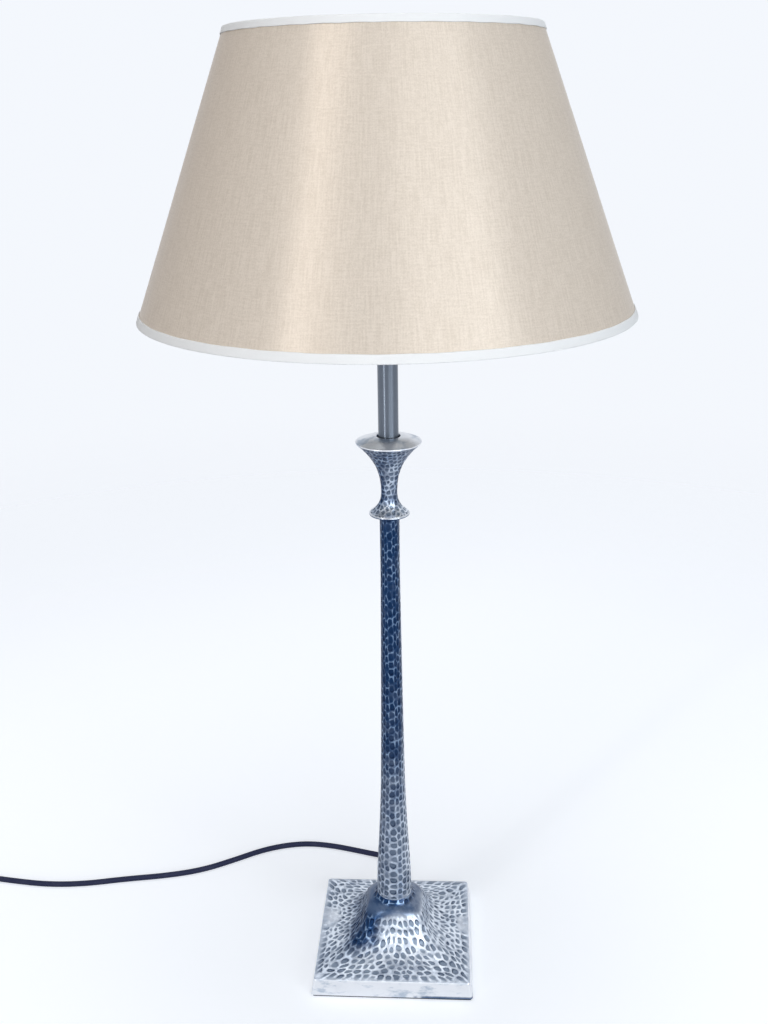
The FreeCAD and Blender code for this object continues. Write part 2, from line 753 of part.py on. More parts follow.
# ---- Plug ----
def flat_hexagon(half_width, half_height, bevel, x):
    places = [(half_width - bevel, -half_height), (half_width, 0.0),
              (half_width - bevel, half_height), (-half_width + bevel, half_height),
              (-half_width, 0.0), (-half_width + bevel, -half_height)]
    corners = [point(x, across, up) for across, up in places]
    return Part.makePolygon(corners + [corners[0]])


def make_plug(end):
    """Plug body with the tapered nose that the lead goes into, and its two pins."""
    nose_end = plug_nose_length
    face = plug_nose_length + plug_length
    shell = Part.makeLoft([flat_hexagon(0.42 * plug_half_width, 0.7 * plug_half_height,
                                        0.2 * plug_half_width, nose_end),
                           flat_hexagon(0.95 * plug_half_width, plug_half_height,
                                        0.25 * plug_half_width, nose_end + 0.62 * plug_length),
                           flat_hexagon(plug_half_width, plug_half_height,
                                        0.25 * plug_half_width, face)], True, True)
    nose = Part.makeCone(lead_radius + 0.8, plug_nose_radius, plug_nose_length + 2.0,
                         point(0, 0, 0), Vector(1, 0, 0))
    body = shell.fuse(nose)
    pins = []
    for side in (-1, 1):
        place = point(face - pin_embedded, side * pin_spacing / 2.0, 0)
        pin = Part.makeCylinder(pin_radius, pin_embedded + pin_length - pin_radius / 2.0, place,
                                Vector(1, 0, 0))
        tip = Part.makeCone(pin_radius, pin_radius / 2.0, pin_radius / 2.0,
                            place + Vector(pin_embedded + pin_length - pin_radius / 2.0, 0, 0),
                            Vector(1, 0, 0))
        pins.append(pin.fuse(tip))
        body = body.cut(pin)
    pins = Part.makeCompound(pins)
    for shape in (body, pins):
        shape.translate(end)
    return body, pins


def level_way(way):
    """The nearer of the directions along X or Y."""
    if abs(way.x) > abs(way.y):
        return Vector(math.copysign(1.0, way.x), 0, 0)
    return Vector(0, math.copysign(1.0, way.y), 0)


def least_gap(path, radius, turn_length):
    """Least distance between stretches of a wound tube that lie half a turn or more apart."""
    step = 1.5
    line = path.discretize(int(path.Length / step))
    apart = int(0.5 * turn_length / step)
    least = path.Length
    for index, here in enumerate(line):
        for other in line[index + apart:]:
            least = min(least, here.distanceToPoint(other))
    return least - 2.0 * radius


def make_coil(entry):
    """Two layers of turns, in and out again, and the place of its upper end."""
    total = coil_turns_in + coil_climb + coil_turns_out
    quarter = 0.25
    stops = [quarter * index for index in range(int(round(total / quarter)) + 1)]
    places = [coil_place(stop) for stop in stops]
    places[0] = (places[0][0], level_way(places[0][1]))
    places[-1] = (places[-1][0], level_way(places[-1][1]))
    start, start_way = places[0]
    end, end_way = places[-1]
    shift = Vector(entry.x, entry.y, 0) + start_way * coil_end_straight
    shift = shift - Vector(start.x, start.y, 0)
    edges = [Part.LineSegment(start + shift - start_way * coil_end_straight,
                              start + shift).toShape()]
    for (here, way), (following, next_way) in zip(places, places[1:]):
        edges.extend(biarc(here + shift, way, following + shift, next_way))
    tail_start = end + shift + end_way * coil_end_straight
    edges.append(Part.LineSegment(end + shift, tail_start).toShape())
    tube, length, share = swept(edges, lead_radius)
    gap = least_gap(Part.Wire(edges), lead_radius, 2.0 * math.pi * coil_inner_radius)
    print("cord_coil turns %.2f, length %.1f, volume share %.4f, least gap to itself %.2f"
          % (total, length, share, gap))
    return tube, length, tail_start


# ---- Write the pieces ----
write(make_felt(), "felt_pad")
write(make_foot(), "foot_casting")
write(make_weight(), "foot_weight")
write(make_clamp(), "cord_clamp")
write(make_clamp_screws(), "clamp_screws")
write(make_sleeve(), "cord_sleeve")
write(make_inner_lead(), "inner_cord")
write(make_washer(), "clamp_washer")
write(hexagon(nut_flats, weight_pocket_top - washer_thickness - nut_height, nut_height,
              rod_radius), "clamp_nut")
write(make_rod(), "tie_rod")
write(make_column(), "column")
write(make_cup(), "candle_cup")
write(ring(rod_hole, tube_radius - tube_wall - slip, socket_floor, socket_floor + bush_height),
      "tube_bush")
write(ring(tube_radius - tube_wall, tube_radius, socket_floor, tube_top), "candle_tube")
write(make_tube_cap(), "tube_cap")
write(hexagon(nut_flats, tube_cap_top, thin_nut_height, rod_radius), "lock_nut")
write(make_holder_cap(), "holder_cap")
write(make_holder_body(), "holder_body")
write(make_holder_sleeve(), "holder_sleeve")
write(make_contact(), "centre_contact")
write(make_switch_bar(), "switch_bar")
write(make_shade_ring(), "shade_ring")
write(make_bulb_cap(), "bulb_cap")
write(make_bulb_glass(), "bulb_glass")
write(make_fitter_ring(), "fitter_ring")
write(make_fitter_arms(), "fitter_arms")
write(make_top_wire(), "shade_top_wire")
write(make_bottom_wire(), "shade_bottom_wire")
write(cone_shell(shade_bottom, shade_top, fabric_thickness, fabric_thickness + liner_thickness),
      "shade_liner")
write(cone_shell(shade_bottom, shade_top, 0.0, fabric_thickness), "shade_fabric")
write(make_trim(shade_top, trim_top_width, -1), "trim_top")
write(make_trim(shade_bottom, trim_bottom_width, 1), "trim_bottom")

run, run_length = free_lead(lead_route, "cord_run")
write(run, "cord_run")
coil, coil_length, coil_end = make_coil(Vector(*lead_route[-1]))
write(coil, "cord_coil")

# From the upper layer down to the table, and round to the plug beside the coil.
tail_steps = [(0.0, 0.0, 0.0), (0.0, -18.0, 0.0), (-0.8, -37.0, -3.6), (3.6, -56.0, -5.8),
              (15.0, -71.0, -6.0), (31.0, -80.5, -4.6), (49.0, -83.6, -2.8), (66.0, -83.6, -2.8)]
tail_route = [(coil_end.x + x, coil_end.y + y, coil_end.z + z) for x, y, z in tail_steps]
tail, tail_length = free_lead(tail_route, "cord_tail")
write(tail, "cord_tail")
plug_body, plug_pins = make_plug(Vector(*tail_route[-1]))
write(plug_body, "plug_body")
write(plug_pins, "plug_pins")
print("free lead, sleeve to plug: %.0f mm" % (run_length + coil_length + tail_length))
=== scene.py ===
# Looks of the candlestick lamp: camera, lead, hammered stand, shade and the small pieces.
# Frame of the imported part: -Y is the front, and the lead leaves at the back.
# Sizes of the pieces are in millimetres and become metres where a mesh is made, apart from those
# that are written with mm. The camera and the lamps are placed in metres.
import math
import bmesh
import bpy
import numpy as np
from mathutils import Matrix, Vector


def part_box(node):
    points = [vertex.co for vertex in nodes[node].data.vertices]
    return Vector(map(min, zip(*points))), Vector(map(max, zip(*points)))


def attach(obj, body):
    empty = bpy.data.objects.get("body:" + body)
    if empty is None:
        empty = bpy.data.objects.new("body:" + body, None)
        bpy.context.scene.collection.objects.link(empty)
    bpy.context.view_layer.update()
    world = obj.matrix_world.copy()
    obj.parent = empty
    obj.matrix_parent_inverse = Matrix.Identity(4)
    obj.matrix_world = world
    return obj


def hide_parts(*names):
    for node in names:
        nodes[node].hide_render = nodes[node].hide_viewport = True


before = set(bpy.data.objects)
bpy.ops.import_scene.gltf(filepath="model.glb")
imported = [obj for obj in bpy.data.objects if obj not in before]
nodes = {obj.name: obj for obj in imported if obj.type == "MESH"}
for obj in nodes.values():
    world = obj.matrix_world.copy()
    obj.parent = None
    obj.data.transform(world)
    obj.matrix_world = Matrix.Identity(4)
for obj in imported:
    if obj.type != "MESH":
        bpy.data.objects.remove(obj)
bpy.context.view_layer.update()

scene = bpy.context.scene
scene.view_settings.view_transform = "Standard"
mm = 0.001

view = {
    "place": (0.0488, -0.92322, 0.8038),
    "down": 20.0,          # degrees under the horizon
    "turn": 3.323,         # degrees to the left of straight on
    "roll": -0.86,
    "lens": 39.375,
    "sensor": 36.0,
}


def setCamera():
    data = bpy.data.cameras.new("camera")
    data.lens = view["lens"]
    data.sensor_width = view["sensor"]
    camera = bpy.data.objects.new("camera", data)
    aim = (Matrix.Rotation(math.radians(view["turn"]), 4, "Z")
           @ Matrix.Rotation(math.radians(90 - view["down"]), 4, "X")
           @ Matrix.Rotation(math.radians(view["roll"]), 4, "Z"))
    camera.matrix_world = Matrix.Translation(view["place"]) @ aim
    scene.collection.objects.link(camera)
    scene.camera = camera


setCamera()
print("camera set")


class Wire:
    # one output of a node, so that shader maths reads as plain sums
    def __init__(self, look, socket):
        self.look = look
        self.socket = socket

    def sum(self, operation, first, second):
        return self.look.node("ShaderNodeMath", {"operation": operation},
                              {0: first, 1: second})

    def __add__(self, other):
        return self.sum("ADD", self, other)

    def __radd__(self, other):
        return self.sum("ADD", other, self)

    def __sub__(self, other):
        return self.sum("SUBTRACT", self, other)

    def __rsub__(self, other):
        return self.sum("SUBTRACT", other, self)

    def __mul__(self, other):
        return self.sum("MULTIPLY", self, other)

    def __rmul__(self, other):
        return self.sum("MULTIPLY", other, self)

    def __pow__(self, other):
        return self.sum("POWER", self, other)


class Look:
    # a material under construction
    def __init__(self, name, constants=None, world=None):
        self.material = world or bpy.data.materials.new(name)
        self.material.use_nodes = True
        self.tree = self.material.node_tree
        self.shader = self.tree.nodes.get("Principled BSDF")
        for socket, value in (constants or {}).items():
            self.shader.inputs[socket].default_value = value

    def node(self, kind, settings=None, values=None, output=0):
        made = self.tree.nodes.new(kind)
        for name, value in (settings or {}).items():
            setattr(made, name, value)
        for name, value in (values or {}).items():
            if isinstance(value, Wire):
                self.tree.links.new(value.socket, made.inputs[name])
            else:
                made.inputs[name].default_value = value
        return Wire(self, made.outputs[output])

    def feed(self, **wires):
        for name, wire in wires.items():
            socket = name.replace("_", " ")
            self.tree.links.new(wire.socket, self.shader.inputs[socket])
        return self.material

    def place(self, stretch=(1, 1, 1)):
        here = self.node("ShaderNodeTexCoord", output="Object")
        if tuple(stretch) == (1, 1, 1):
            return here
        return self.node("ShaderNodeVectorMath", {"operation": "MULTIPLY"},
                         {0: here, 1: stretch})

    def noise(self, size, detail=2.0, roughness=0.5, place=None):
        return self.node("ShaderNodeTexNoise", {"noise_dimensions": "3D"},
                         {"Vector": place or self.place(), "Scale": 1.0 / size,
                          "Detail": detail, "Roughness": roughness})

    def mark(self, name):
        return self.node("ShaderNodeAttribute", {"attribute_name": name}, output="Fac")

    def step(self, wire, low, high):
        return self.node("ShaderNodeMapRange", {"interpolation_type": "SMOOTHSTEP"},
                         {"Value": wire, "From Min": low, "From Max": high})

    def mix(self, share, first, second):
        ends = [end if isinstance(end, Wire) else (*end, 1.0) for end in (first, second)]
        return self.node("ShaderNodeMix", {"data_type": "RGBA"}, {0: share, 6: ends[0], 7: ends[1]}, 2)

    def axis(self, name):
        return self.node("ShaderNodeSeparateXYZ", values={"Vector": self.place()}, output=name)

    def bump(self, height, depth, under=None):
        values = {"Height": height, "Distance": depth, "Strength": 1.0}
        if under:
            values["Normal"] = under
        return self.node("ShaderNodeBump", values=values)


metal = {
    # clean metal, then tarnished metal, which the tarnish mark also uses as painted shade
    # ridge is the crest's painted highlight, ridgeFaint the ridge without it, wall the painted shade in a
    # dimple
    "ridge": ((0.82, 0.87, 0.94), (0.155, 0.235, 0.365)),
    "ridgeFaint": ((0.45, 0.50, 0.58), (0.013, 0.038, 0.100)),
    "floor": ((0.235, 0.285, 0.355), (0.008, 0.026, 0.074)),
    "wall": ((0.018, 0.038, 0.082), (0.001, 0.006, 0.026)),
    "rubbed": ((0.78, 0.795, 0.825), (0.110, 0.160, 0.250)),
    "smear": ((0.44, 0.50, 0.58), (0.050, 0.085, 0.160)),
}


def hammeredPewter():
    look = Look("hammered pewter")
    dent, wall = look.mark("dent"), look.mark("wall")
    polish, tarnish = look.mark("polish"), look.mark("tarnish")
    cloud = look.step(look.noise(15 * mm, 4, 0.6), 0.36, 0.68)
    speck = look.step(look.noise(1.4 * mm, 3, 0.6), 0.5, 0.75)
    grain = look.noise(0.6 * mm, 3, 0.6)
    dull = look.step(tarnish + (cloud - 0.5) * 0.22, 0.0, 1.0)
    tone = {name: look.mix(dull, *pair) for name, pair in metal.items()}
    faint = look.step(look.noise(6 * mm, 3, 0.55), 0.38, 0.60)
    # painted highlight on the crests that face up and painted shade on the dimple walls
    crestHighlight = look.mark("crestHighlight") * (1 - faint * 0.92) + (1 - tarnish) * (0.75 - faint * 0.40)
    ridge = look.mix(look.step(crestHighlight, 0.0, 0.85), tone["ridgeFaint"], tone["ridge"])
    hammered = look.mix(look.step(dent * 1.5 + speck * 0.1, 0.0, 0.9), ridge, tone["floor"])
    hammered = look.mix(look.step(wall * (0.8 + cloud * 0.3), 0.0, 1.0), hammered, tone["wall"])
    smear = look.step(look.noise(9 * mm, 5, 0.6, look.place((0.45, 0.45, 1.2))), 0.50, 0.68)
    rubbed = look.mix(smear, tone["rubbed"], tone["smear"])
    look.feed(
        Base_Color=look.mix(polish, hammered, rubbed),
        Metallic=1 - wall * 0.06,
        Roughness=(0.25 + dent * 0.12 + wall * 0.14 + speck * 0.06 + grain * 0.08
                   + smear * polish * 0.08),
        Normal=look.bump(grain, 0.05 * mm))
    return look.material


def brushedSteel(name, colour, roughness, stretch, depth=0.02 * mm, brushing=None):
    look = Look(name, {"Metallic": 1.0, **(brushing or {})})
    lines = look.noise(0.35 * mm, 3, 0.6, look.place(stretch))
    cloud = look.noise(30 * mm, 3)
    worn = [part * 0.72 for part in colour]
    look.feed(
        Base_Color=look.mix(lines * 0.5 + cloud * 0.35, colour, worn),
        Roughness=roughness + lines * 0.12 + cloud * 0.06,
        Normal=look.bump(lines, depth))
    return look.material


def castIron():
    look = Look("cast iron", {"Metallic": 0.6})
    sand = look.noise(1.2 * mm, 5, 0.65)
    rust = look.noise(14 * mm, 4)
    look.feed(
        Base_Color=look.mix(look.step(rust, 0.5, 0.7), (0.07, 0.07, 0.075), (0.13, 0.085, 0.06)),
        Roughness=0.6 + sand * 0.3,
        Normal=look.bump(sand, 0.25 * mm))
    return look.material


def felt():
    look = Look("dark felt", {"Sheen Weight": 0.4, "Sheen Roughness": 0.5})
    fibre = look.noise(0.5 * mm, 5, 0.75)
    tuft = look.noise(3 * mm, 3)
    look.feed(
        Base_Color=look.mix(fibre * 0.6 + tuft * 0.4, (0.012, 0.015, 0.026), (0.05, 0.056, 0.075)),
        Roughness=0.86 + fibre * 0.1,
        Normal=look.bump(fibre, 0.3 * mm))
    return look.material


def plastic(name, colour, roughness=0.38, grain=0.5 * mm, depth=0.03 * mm, coat=0.0, gloss=0.5):
    look = Look(name, {"Coat Weight": coat, "Coat Roughness": 0.2, "Specular IOR Level": gloss})
    skin = look.noise(grain, 3, 0.6)
    handled = look.noise(16 * mm, 3)
    paler = [min(1.0, part * 1.12 + 0.012) for part in colour]
    look.feed(
        Base_Color=look.mix(look.step(handled, 0.4, 0.75), colour, paler),
        Roughness=roughness + handled * 0.14 + skin * 0.05,
        Normal=look.bump(skin, depth))
    return look.material


def plainMetal(name, colour, roughness=0.25):
    look = Look(name, {"Metallic": 1.0})
    drawn = look.noise(0.4 * mm, 2, 0.5, look.place((1, 1, 12)))
    tarnish = look.step(look.noise(9 * mm, 4), 0.45, 0.75)
    dull = [part * 0.6 for part in colour]
    look.feed(
        Base_Color=look.mix(tarnish * 0.6, colour, dull),
        Roughness=roughness + tarnish * 0.2 + drawn * 0.08,
        Normal=look.bump(drawn, 0.015 * mm))
    return look.material


def opalGlass():
    look = Look("opal glass", {"Coat Weight": 0.5, "Coat Roughness": 0.08})
    milk = look.noise(9 * mm, 3)
    frost = look.noise(0.25 * mm, 3)
    look.feed(
        Base_Color=look.mix(milk, (0.86, 0.86, 0.83), (0.92, 0.915, 0.89)),
        Roughness=0.22 + frost * 0.12,
        Normal=look.bump(frost, 0.01 * mm))
    return look.material


cloth = {
    "colour": (0.785, 0.695, 0.605),
    "shadow": (0.655, 0.568, 0.482),
    "meanRadius": 165 * mm,      # of the shade, to lay the threads out round it
    "threadPitch": 0.85 * mm,
    # size of a mark and the share that draws it out, the slub round the shade and the others up it
    "slub": (1.3 * mm, 0.12),
    "streak": (1.3 * mm, 0.06),
    "sweep": (16 * mm, 0.02),
    "grain": 1.1 * mm,
}


def roundTheAxis(look):
    # distance round the lamp's axis, nought at the front, and height
    angle = look.node("ShaderNodeMath", {"operation": "ARCTAN2"},
                      {0: look.axis("X"), 1: look.axis("Y") * -1})
    return angle * cloth["meanRadius"], look.axis("Z")


def thread(look, place, pitch):
    return look.node("ShaderNodeMath", {"operation": "SINE"},
                     {0: place * (2 * math.pi / pitch)}) * 0.5 + 0.5


def champagneSatin():
    look = Look("champagne satin", {"Metallic": 0.14, "Specular IOR Level": 0.03,
                                    "Specular Tint": (0.50, 0.45, 0.42, 1.0),
                                    "Anisotropic": 0.8, "Anisotropic Rotation": 0.25})
    around, up = roundTheAxis(look)

    def drawn(size, detail, roughness, x, y):
        place = look.node("ShaderNodeCombineXYZ", values={"X": x, "Y": y})
        return look.noise(size, detail, roughness, place)

    slub = drawn(cloth["slub"][0], 4, 0.65, around * cloth["slub"][1], up)
    streak = drawn(cloth["streak"][0], 3, 0.6, around, up * cloth["streak"][1])
    sweep = drawn(cloth["sweep"][0], 2, 0.5, around, up * cloth["sweep"][1])
    weave = thread(look, around, cloth["threadPitch"]) * thread(look, up, cloth["threadPitch"])
    grain = look.noise(cloth["grain"], 2, 0.6)
    shade = look.step(slub * 0.30 + streak * 0.35 + grain * 0.35 + weave * 0.10, 0.38, 0.68)
    look.feed(
        Base_Color=look.mix(shade, cloth["colour"], cloth["shadow"]),
        Roughness=0.28 + weave * 0.08 + grain * 0.08 + sweep * 0.08,
        Normal=look.bump(weave * 0.35 + grain * 0.7 + streak * 0.4, 0.05 * mm))
    return look.material


def wovenTape():
    look = Look("white tape", {"Sheen Weight": 0.15})
    around, up = roundTheAxis(look)
    twill = thread(look, around + up, 0.7 * mm)
    rib = thread(look, up, 0.5 * mm)
    fluff = look.noise(0.6 * mm, 4, 0.7)
    look.feed(
        Base_Color=look.mix(twill * 0.4 + fluff * 0.3, (0.96, 0.965, 0.975), (0.88, 0.895, 0.92)),
        Roughness=0.7 + fluff * 0.2,
        Normal=look.bump(twill * 0.6 + rib * 0.4 + fluff * 0.4, 0.08 * mm))
    return look.material


def shadeLining():
    look = Look("shade lining", {"Coat Weight": 0.15, "Coat Roughness": 0.35})
    press = look.noise(0.8 * mm, 3, 0.6)
    cloud = look.noise(60 * mm, 2)
    look.feed(
        Base_Color=look.mix(cloud, (0.88, 0.875, 0.86), (0.93, 0.925, 0.91)),
        Roughness=0.42 + press * 0.15,
        Normal=look.bump(press, 0.03 * mm))
    return look.material


def pinNickel(sleeveEnd):
    # bare nickel at the tips, dark sleeves next to the plug
    look = Look("pin nickel")
    bare = look.step(look.axis("X"), sleeveEnd - 0.1 * mm, sleeveEnd + 0.1 * mm)
    scratch = look.noise(0.3 * mm, 3, 0.6, look.place((0.08, 1, 1)))
    look.feed(
        Base_Color=look.mix(bare, (0.02, 0.021, 0.026), (0.72, 0.70, 0.66)),
        Metallic=bare,
        Roughness=0.42 - bare * 0.24 + scratch * 0.1,
        Normal=look.bump(scratch, 0.01 * mm))
    return look.material


pewter = hammeredPewter()
tubeSteel = brushedSteel("brushed tube", (0.17, 0.195, 0.235), 0.24, (0.02, 0.02, 1.2), 0.01 * mm,
                         {"Anisotropic": 0.9, "Anisotropic Rotation": 0.25})
zinc = brushedSteel("zinc steel", (0.60, 0.61, 0.64), 0.28, (1, 1, 1))
iron = castIron()
feltCloth = felt()
brass = plainMetal("brass", (0.72, 0.56, 0.27))
capMetal = plainMetal("cap metal", (0.74, 0.74, 0.75), 0.22)
whiteWire = plastic("white wire", (0.85, 0.85, 0.85), 0.35, 1.4 * mm, 0.06 * mm, 0.2)
holderBlack = plastic("holder plastic", (0.035, 0.036, 0.04), 0.34)
plugBlack = plastic("plug black", (0.012, 0.014, 0.022), 0.42)
leadBlack = plastic("lead black", (0.004, 0.008, 0.040), 0.5, 1.0 * mm, 0.02 * mm, gloss=0.3)
glass = opalGlass()
satin = champagneSatin()
tape = wovenTape()
lining = shadeLining()
print("finishes made")


def through(points, perRun=40):
    # smooth line through the points, close enough together to be spaced out again
    points = np.array(points, float)
    chord = np.linalg.norm(np.diff(points, axis=0), axis=1) ** 0.5
    knots = np.concatenate([[0], np.cumsum(chord)])
    slope = np.gradient(points, knots, axis=0)
    line = []
    for index in range(len(points) - 1):
        share = np.linspace(0, 1, perRun, endpoint=False)[:, None]
        span = knots[index + 1] - knots[index]
        line.append((2 * share ** 3 - 3 * share ** 2 + 1) * points[index]
                    + (share ** 3 - 2 * share ** 2 + share) * span * slope[index]
                    + (3 * share ** 2 - 2 * share ** 3) * points[index + 1]
                    + (share ** 3 - share ** 2) * span * slope[index + 1])
    line.append(points[-1:])
    return np.concatenate(line)


def spaced(line, step):
    # the line again, with its points a step or less apart
    line = np.array(line, float)
    reach = np.concatenate([[0], np.cumsum(np.linalg.norm(np.diff(line, axis=0), axis=1))])
    count = max(2, int(math.ceil(reach[-1] / step)) + 1)
    marks = np.linspace(0, reach[-1], count)
    return np.stack([np.interp(marks, reach, line[:, axis]) for axis in range(line.shape[1])], 1)


def joined(*runs):
    # runs that each start where the one before ends
    return np.concatenate([runs[0]] + [run[1:] for run in runs[1:]])


def normals(places):
    around = np.roll(places, -1, 1) - np.roll(places, 1, 1)
    up = np.gradient(places, axis=0)
    out = np.cross(around, up)
    return out / np.maximum(np.linalg.norm(out, axis=2, keepdims=True), 1e-12)


def grid(name, places, material, closedAround=True, closedAlong=False, marks=None, merge=False):
    # mesh from rows of points; a mark is a number for each vertex that the finish reads
    rows, columns = places.shape[:2]
    index = np.arange(rows * columns).reshape(rows, columns)
    low = index if closedAlong else index[:-1]
    high = np.roll(index, -1, 0) if closedAlong else index[1:]
    if closedAround:
        quads = np.stack([low, np.roll(low, -1, 1), np.roll(high, -1, 1), high], 2)
    else:
        quads = np.stack([low[:, :-1], low[:, 1:], high[:, 1:], high[:, :-1]], 2)
    mesh = bpy.data.meshes.new(name)
    mesh.from_pydata(places.reshape(-1, 3).tolist(), [], quads.reshape(-1, 4).tolist())
    for title, values in (marks or {}).items():
        mark = mesh.attributes.new(title, "FLOAT", "POINT")
        values = np.broadcast_to(values, (rows, columns))
        mark.data.foreach_set("value", np.ascontiguousarray(values, np.float32).ravel())
    if merge:
        work = bmesh.new()
        work.from_mesh(mesh)
        bmesh.ops.remove_doubles(work, verts=work.verts, dist=1e-6)
        work.to_mesh(mesh)
        work.free()
    mesh.polygons.foreach_set("use_smooth", np.ones(len(mesh.polygons), bool))
    mesh.materials.append(material)
    made = bpy.data.objects.new(name, mesh)
    scene.collection.objects.link(made)
    return made


def turned(outline, columns, start=0.0):
    # rows of rings from an outline of (radius, height)
    angle = start + np.linspace(0, 2 * math.pi, columns, endpoint=False)
    radius, height = outline[:, :1], outline[:, 1:2]
    return np.stack([radius * np.cos(angle), radius * np.sin(angle), np.repeat(height, columns, 1)], 2)


def offFront(x, y):
    return np.degrees(np.arctan2(x, -y))    # degrees round the lamp, to the right of the front


def patches(turn, spots):
    # soft patches round the lamp, each an amount, a direction off the front and a reach
    return sum(amount * np.exp(-((turn - direction) / reach) ** 2) for amount, direction, reach in spots)


def soft(low, high, values):
    # smooth step from 0 to 1
    share = np.clip((values - low) / (high - low), 0, 1)
    return share * share * (3 - 2 * share)


dimple = {
    # in dimples: how much nearer the own centre is than the next one
    "wall": (0.12, 0.50),
    "crestHighlight": (0.06, 0.30),
    "reach": (0.30, 0.56),      # distance from the own centre where a lone dimple ends
    "depth": (0.45, 1.0),       # shallowest and deepest
    "rowPitch": 0.9, "pitch": (0.75, 1.3), "looseness": 0.27,    # on rings, in dimples
    "seen": 2.4,                # how far a dimple is looked for up and down, in dimples
}


def hollow(nearest, second, depth, above):
    # round-bottomed dimple, painted shade on its wall and floor towards its upper end, and the crest
    # beside it with a painted highlight, from the distances to the two nearest centres; above is 1 at the
    # upper end of a dimple and -1 at the lower end
    share = soft(*dimple["wall"], second - nearest) * (1 - soft(*dimple["reach"], nearest))
    # painted shade on the wall and floor towards the upper end of the dimple
    wall = 4 * share * (1 - share) * soft(-0.55, 0.35, above) + 0.55 * share * soft(-0.1, 0.45, above)
    # painted highlight: the crest is bright where it faces up
    crestHighlight = (1 - soft(*dimple["crestHighlight"], second - nearest)) * (0.25 + 0.75 * soft(-0.25, 0.25, -above))
    return share * depth, np.clip(wall, 0, 1) * depth, crestHighlight


def rowDimples(across, along, columns, seed, looseness):
    # dimples in upright rows that each start at their own height; both places are
    # counted in dimples
    random = np.random.default_rng(seed)
    rows = int(along.max()) + 6    # with two spare ones below
    nudge = random.uniform(-1, 1, (rows, columns, 2)) * looseness
    start = random.uniform(0, 1, columns)
    size = random.uniform(*dimple["depth"], (rows, columns))
    nearest = np.full(across.shape, 9.0)
    second = nearest.copy()
    depth = np.zeros(across.shape)
    above = np.zeros(across.shape)
    for columnStep in (-1, 0, 1):
        column = np.floor(across).astype(int) + columnStep
        wrapped = column % columns
        firstRow = np.floor(along - start[wrapped]).astype(int)
        for rowStep in (-1, 0, 1):
            row = firstRow + rowStep
            kept = np.clip(row + 2, 0, rows - 1)
            pick = nudge[kept, wrapped]
            dx = across - (column + 0.5 + pick[..., 0])
            dy = along - (row + start[wrapped] + 0.5 + pick[..., 1])
            away = np.hypot(dx, dy)
            closer = away < nearest
            second = np.where(closer, nearest, np.minimum(second, away))
            depth = np.where(closer, size[kept, wrapped], depth)
            above = np.where(closer, dy, above)
            nearest = np.where(closer, away, nearest)
    return hollow(nearest, second, depth, -above)


def ringDimples(places, first, last, width, height, seed, stretch=None):
    # the same, for dimples that keep their size on rings of any length; width is the size
    # of a dimple at each vertex and height at each row; stretch draws them out up the slope
    random = np.random.default_rng(seed)
    columns = places.shape[1]
    girth = np.linalg.norm(np.roll(places, -1, 1) - places, axis=2).sum(1)
    travel = np.concatenate([[0], np.cumsum(
        np.linalg.norm(np.diff(places, axis=0), axis=2).mean(1))])
    seeds = []    # share of the way round, travel up and depth
    at = travel[first]
    while at < travel[last] + height[last]:
        row = min(int(np.searchsorted(travel, at)), len(travel) - 1)
        place = random.uniform(0, 1) * width[row, 0]
        end = place + girth[row] - 0.5 * width[row, 0]
        while place < end:
            share = place / girth[row] % 1
            step = width[row, int(share * columns) % columns]
            seeds.append((share + random.uniform(-1, 1) * dimple["looseness"] * step / girth[row],
                          at + random.uniform(-1, 1) * dimple["looseness"] * height[row],
                          random.uniform(*dimple["depth"])))
            place += step * random.uniform(*dimple["pitch"])
        at += height[row] * dimple["rowPitch"]
    seeds = np.array(seeds)
    across = np.arange(columns) / columns
    stretch = np.ones(places.shape[:2]) if stretch is None else stretch
    dent = np.zeros(places.shape[:2])
    wall = dent.copy()
    crestHighlight = dent.copy()
    for row in range(first, last):
        near = seeds[np.abs(seeds[:, 1] - travel[row]) < dimple["seen"] * height[row]]
        gap = (across[:, None] - near[None, :, 0] + 0.5) % 1 - 0.5
        climb = (travel[row] - near[:, 1])[None, :] / height[row] / stretch[row][:, None]
        away = np.hypot(gap * girth[row] / width[row][:, None], climb)
        order = np.argpartition(away, 1, axis=1)[:, :2]
        pair = np.sort(np.take_along_axis(away, order, 1), 1)
        closest = np.argmin(away, axis=1)
        above = np.take_along_axis(climb, closest[:, None], 1)[:, 0]
        dent[row], wall[row], crestHighlight[row] = hollow(pair[:, 0], pair[:, 1], near[closest, 2], above)
    return dent, wall, crestHighlight


def put(piece, body, slot, *replaced):
    # the piece rides on its body in place of the solids that it replaces
    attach(piece, body)
    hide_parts(*replaced)
    return piece


lead = {
    "radius": 3 * mm,
    "length": 1.81,          # metres
    "exit": (0.0, 95.9167, 9.5),
    "route": [
        (0.0, 95.9167, 9.5), (0.0, 107.9, 9.5),
        (-4.0, 119.0, 8.4), (-11.6, 128.0, 6.4), (-21.8, 134.0, 4.4), (-37.0, 139.5, 3.2),
        (-58.0, 146.0, 3.0), (-82.0, 152.0, 3.0), (-108.0, 154.5, 3.0), (-134.0, 150.0, 3.0),
        (-160.0, 139.5, 3.0), (-188.0, 121.5, 3.0), (-220.0, 103.0, 3.0), (-258.0, 92.0, 3.0),
        (-303.0, 84.5, 3.0), (-345.0, 75.0, 3.0), (-385.0, 72.5, 3.0), (-424.0, 77.0, 3.0),
        (-460.0, 83.0, 3.0), (-486.0, 84.6, 3.0), (-508.0, 84.6, 3.0)],
    "coilCentre": (-514.0, 41.175),
    "coilInner": 25.0,
    "pitch": 6.7,
    "turnsIn": 2.5,
    "climb": 0.5,
    "turnsOut": 2.25,
    "pointsPerTurn": 16,
    "tailStart": (-555.75, 35.175, 9.7),
    "tail": [(0.0, 0.0, 0.0), (0.0, -18.0, 0.0), (-0.8, -37.0, -3.6), (3.6, -56.0, -5.8),
             (15.0, -71.0, -6.0), (31.0, -80.5, -4.6), (49.0, -83.6, -2.8), (66.0, -83.6, -2.8)],
}


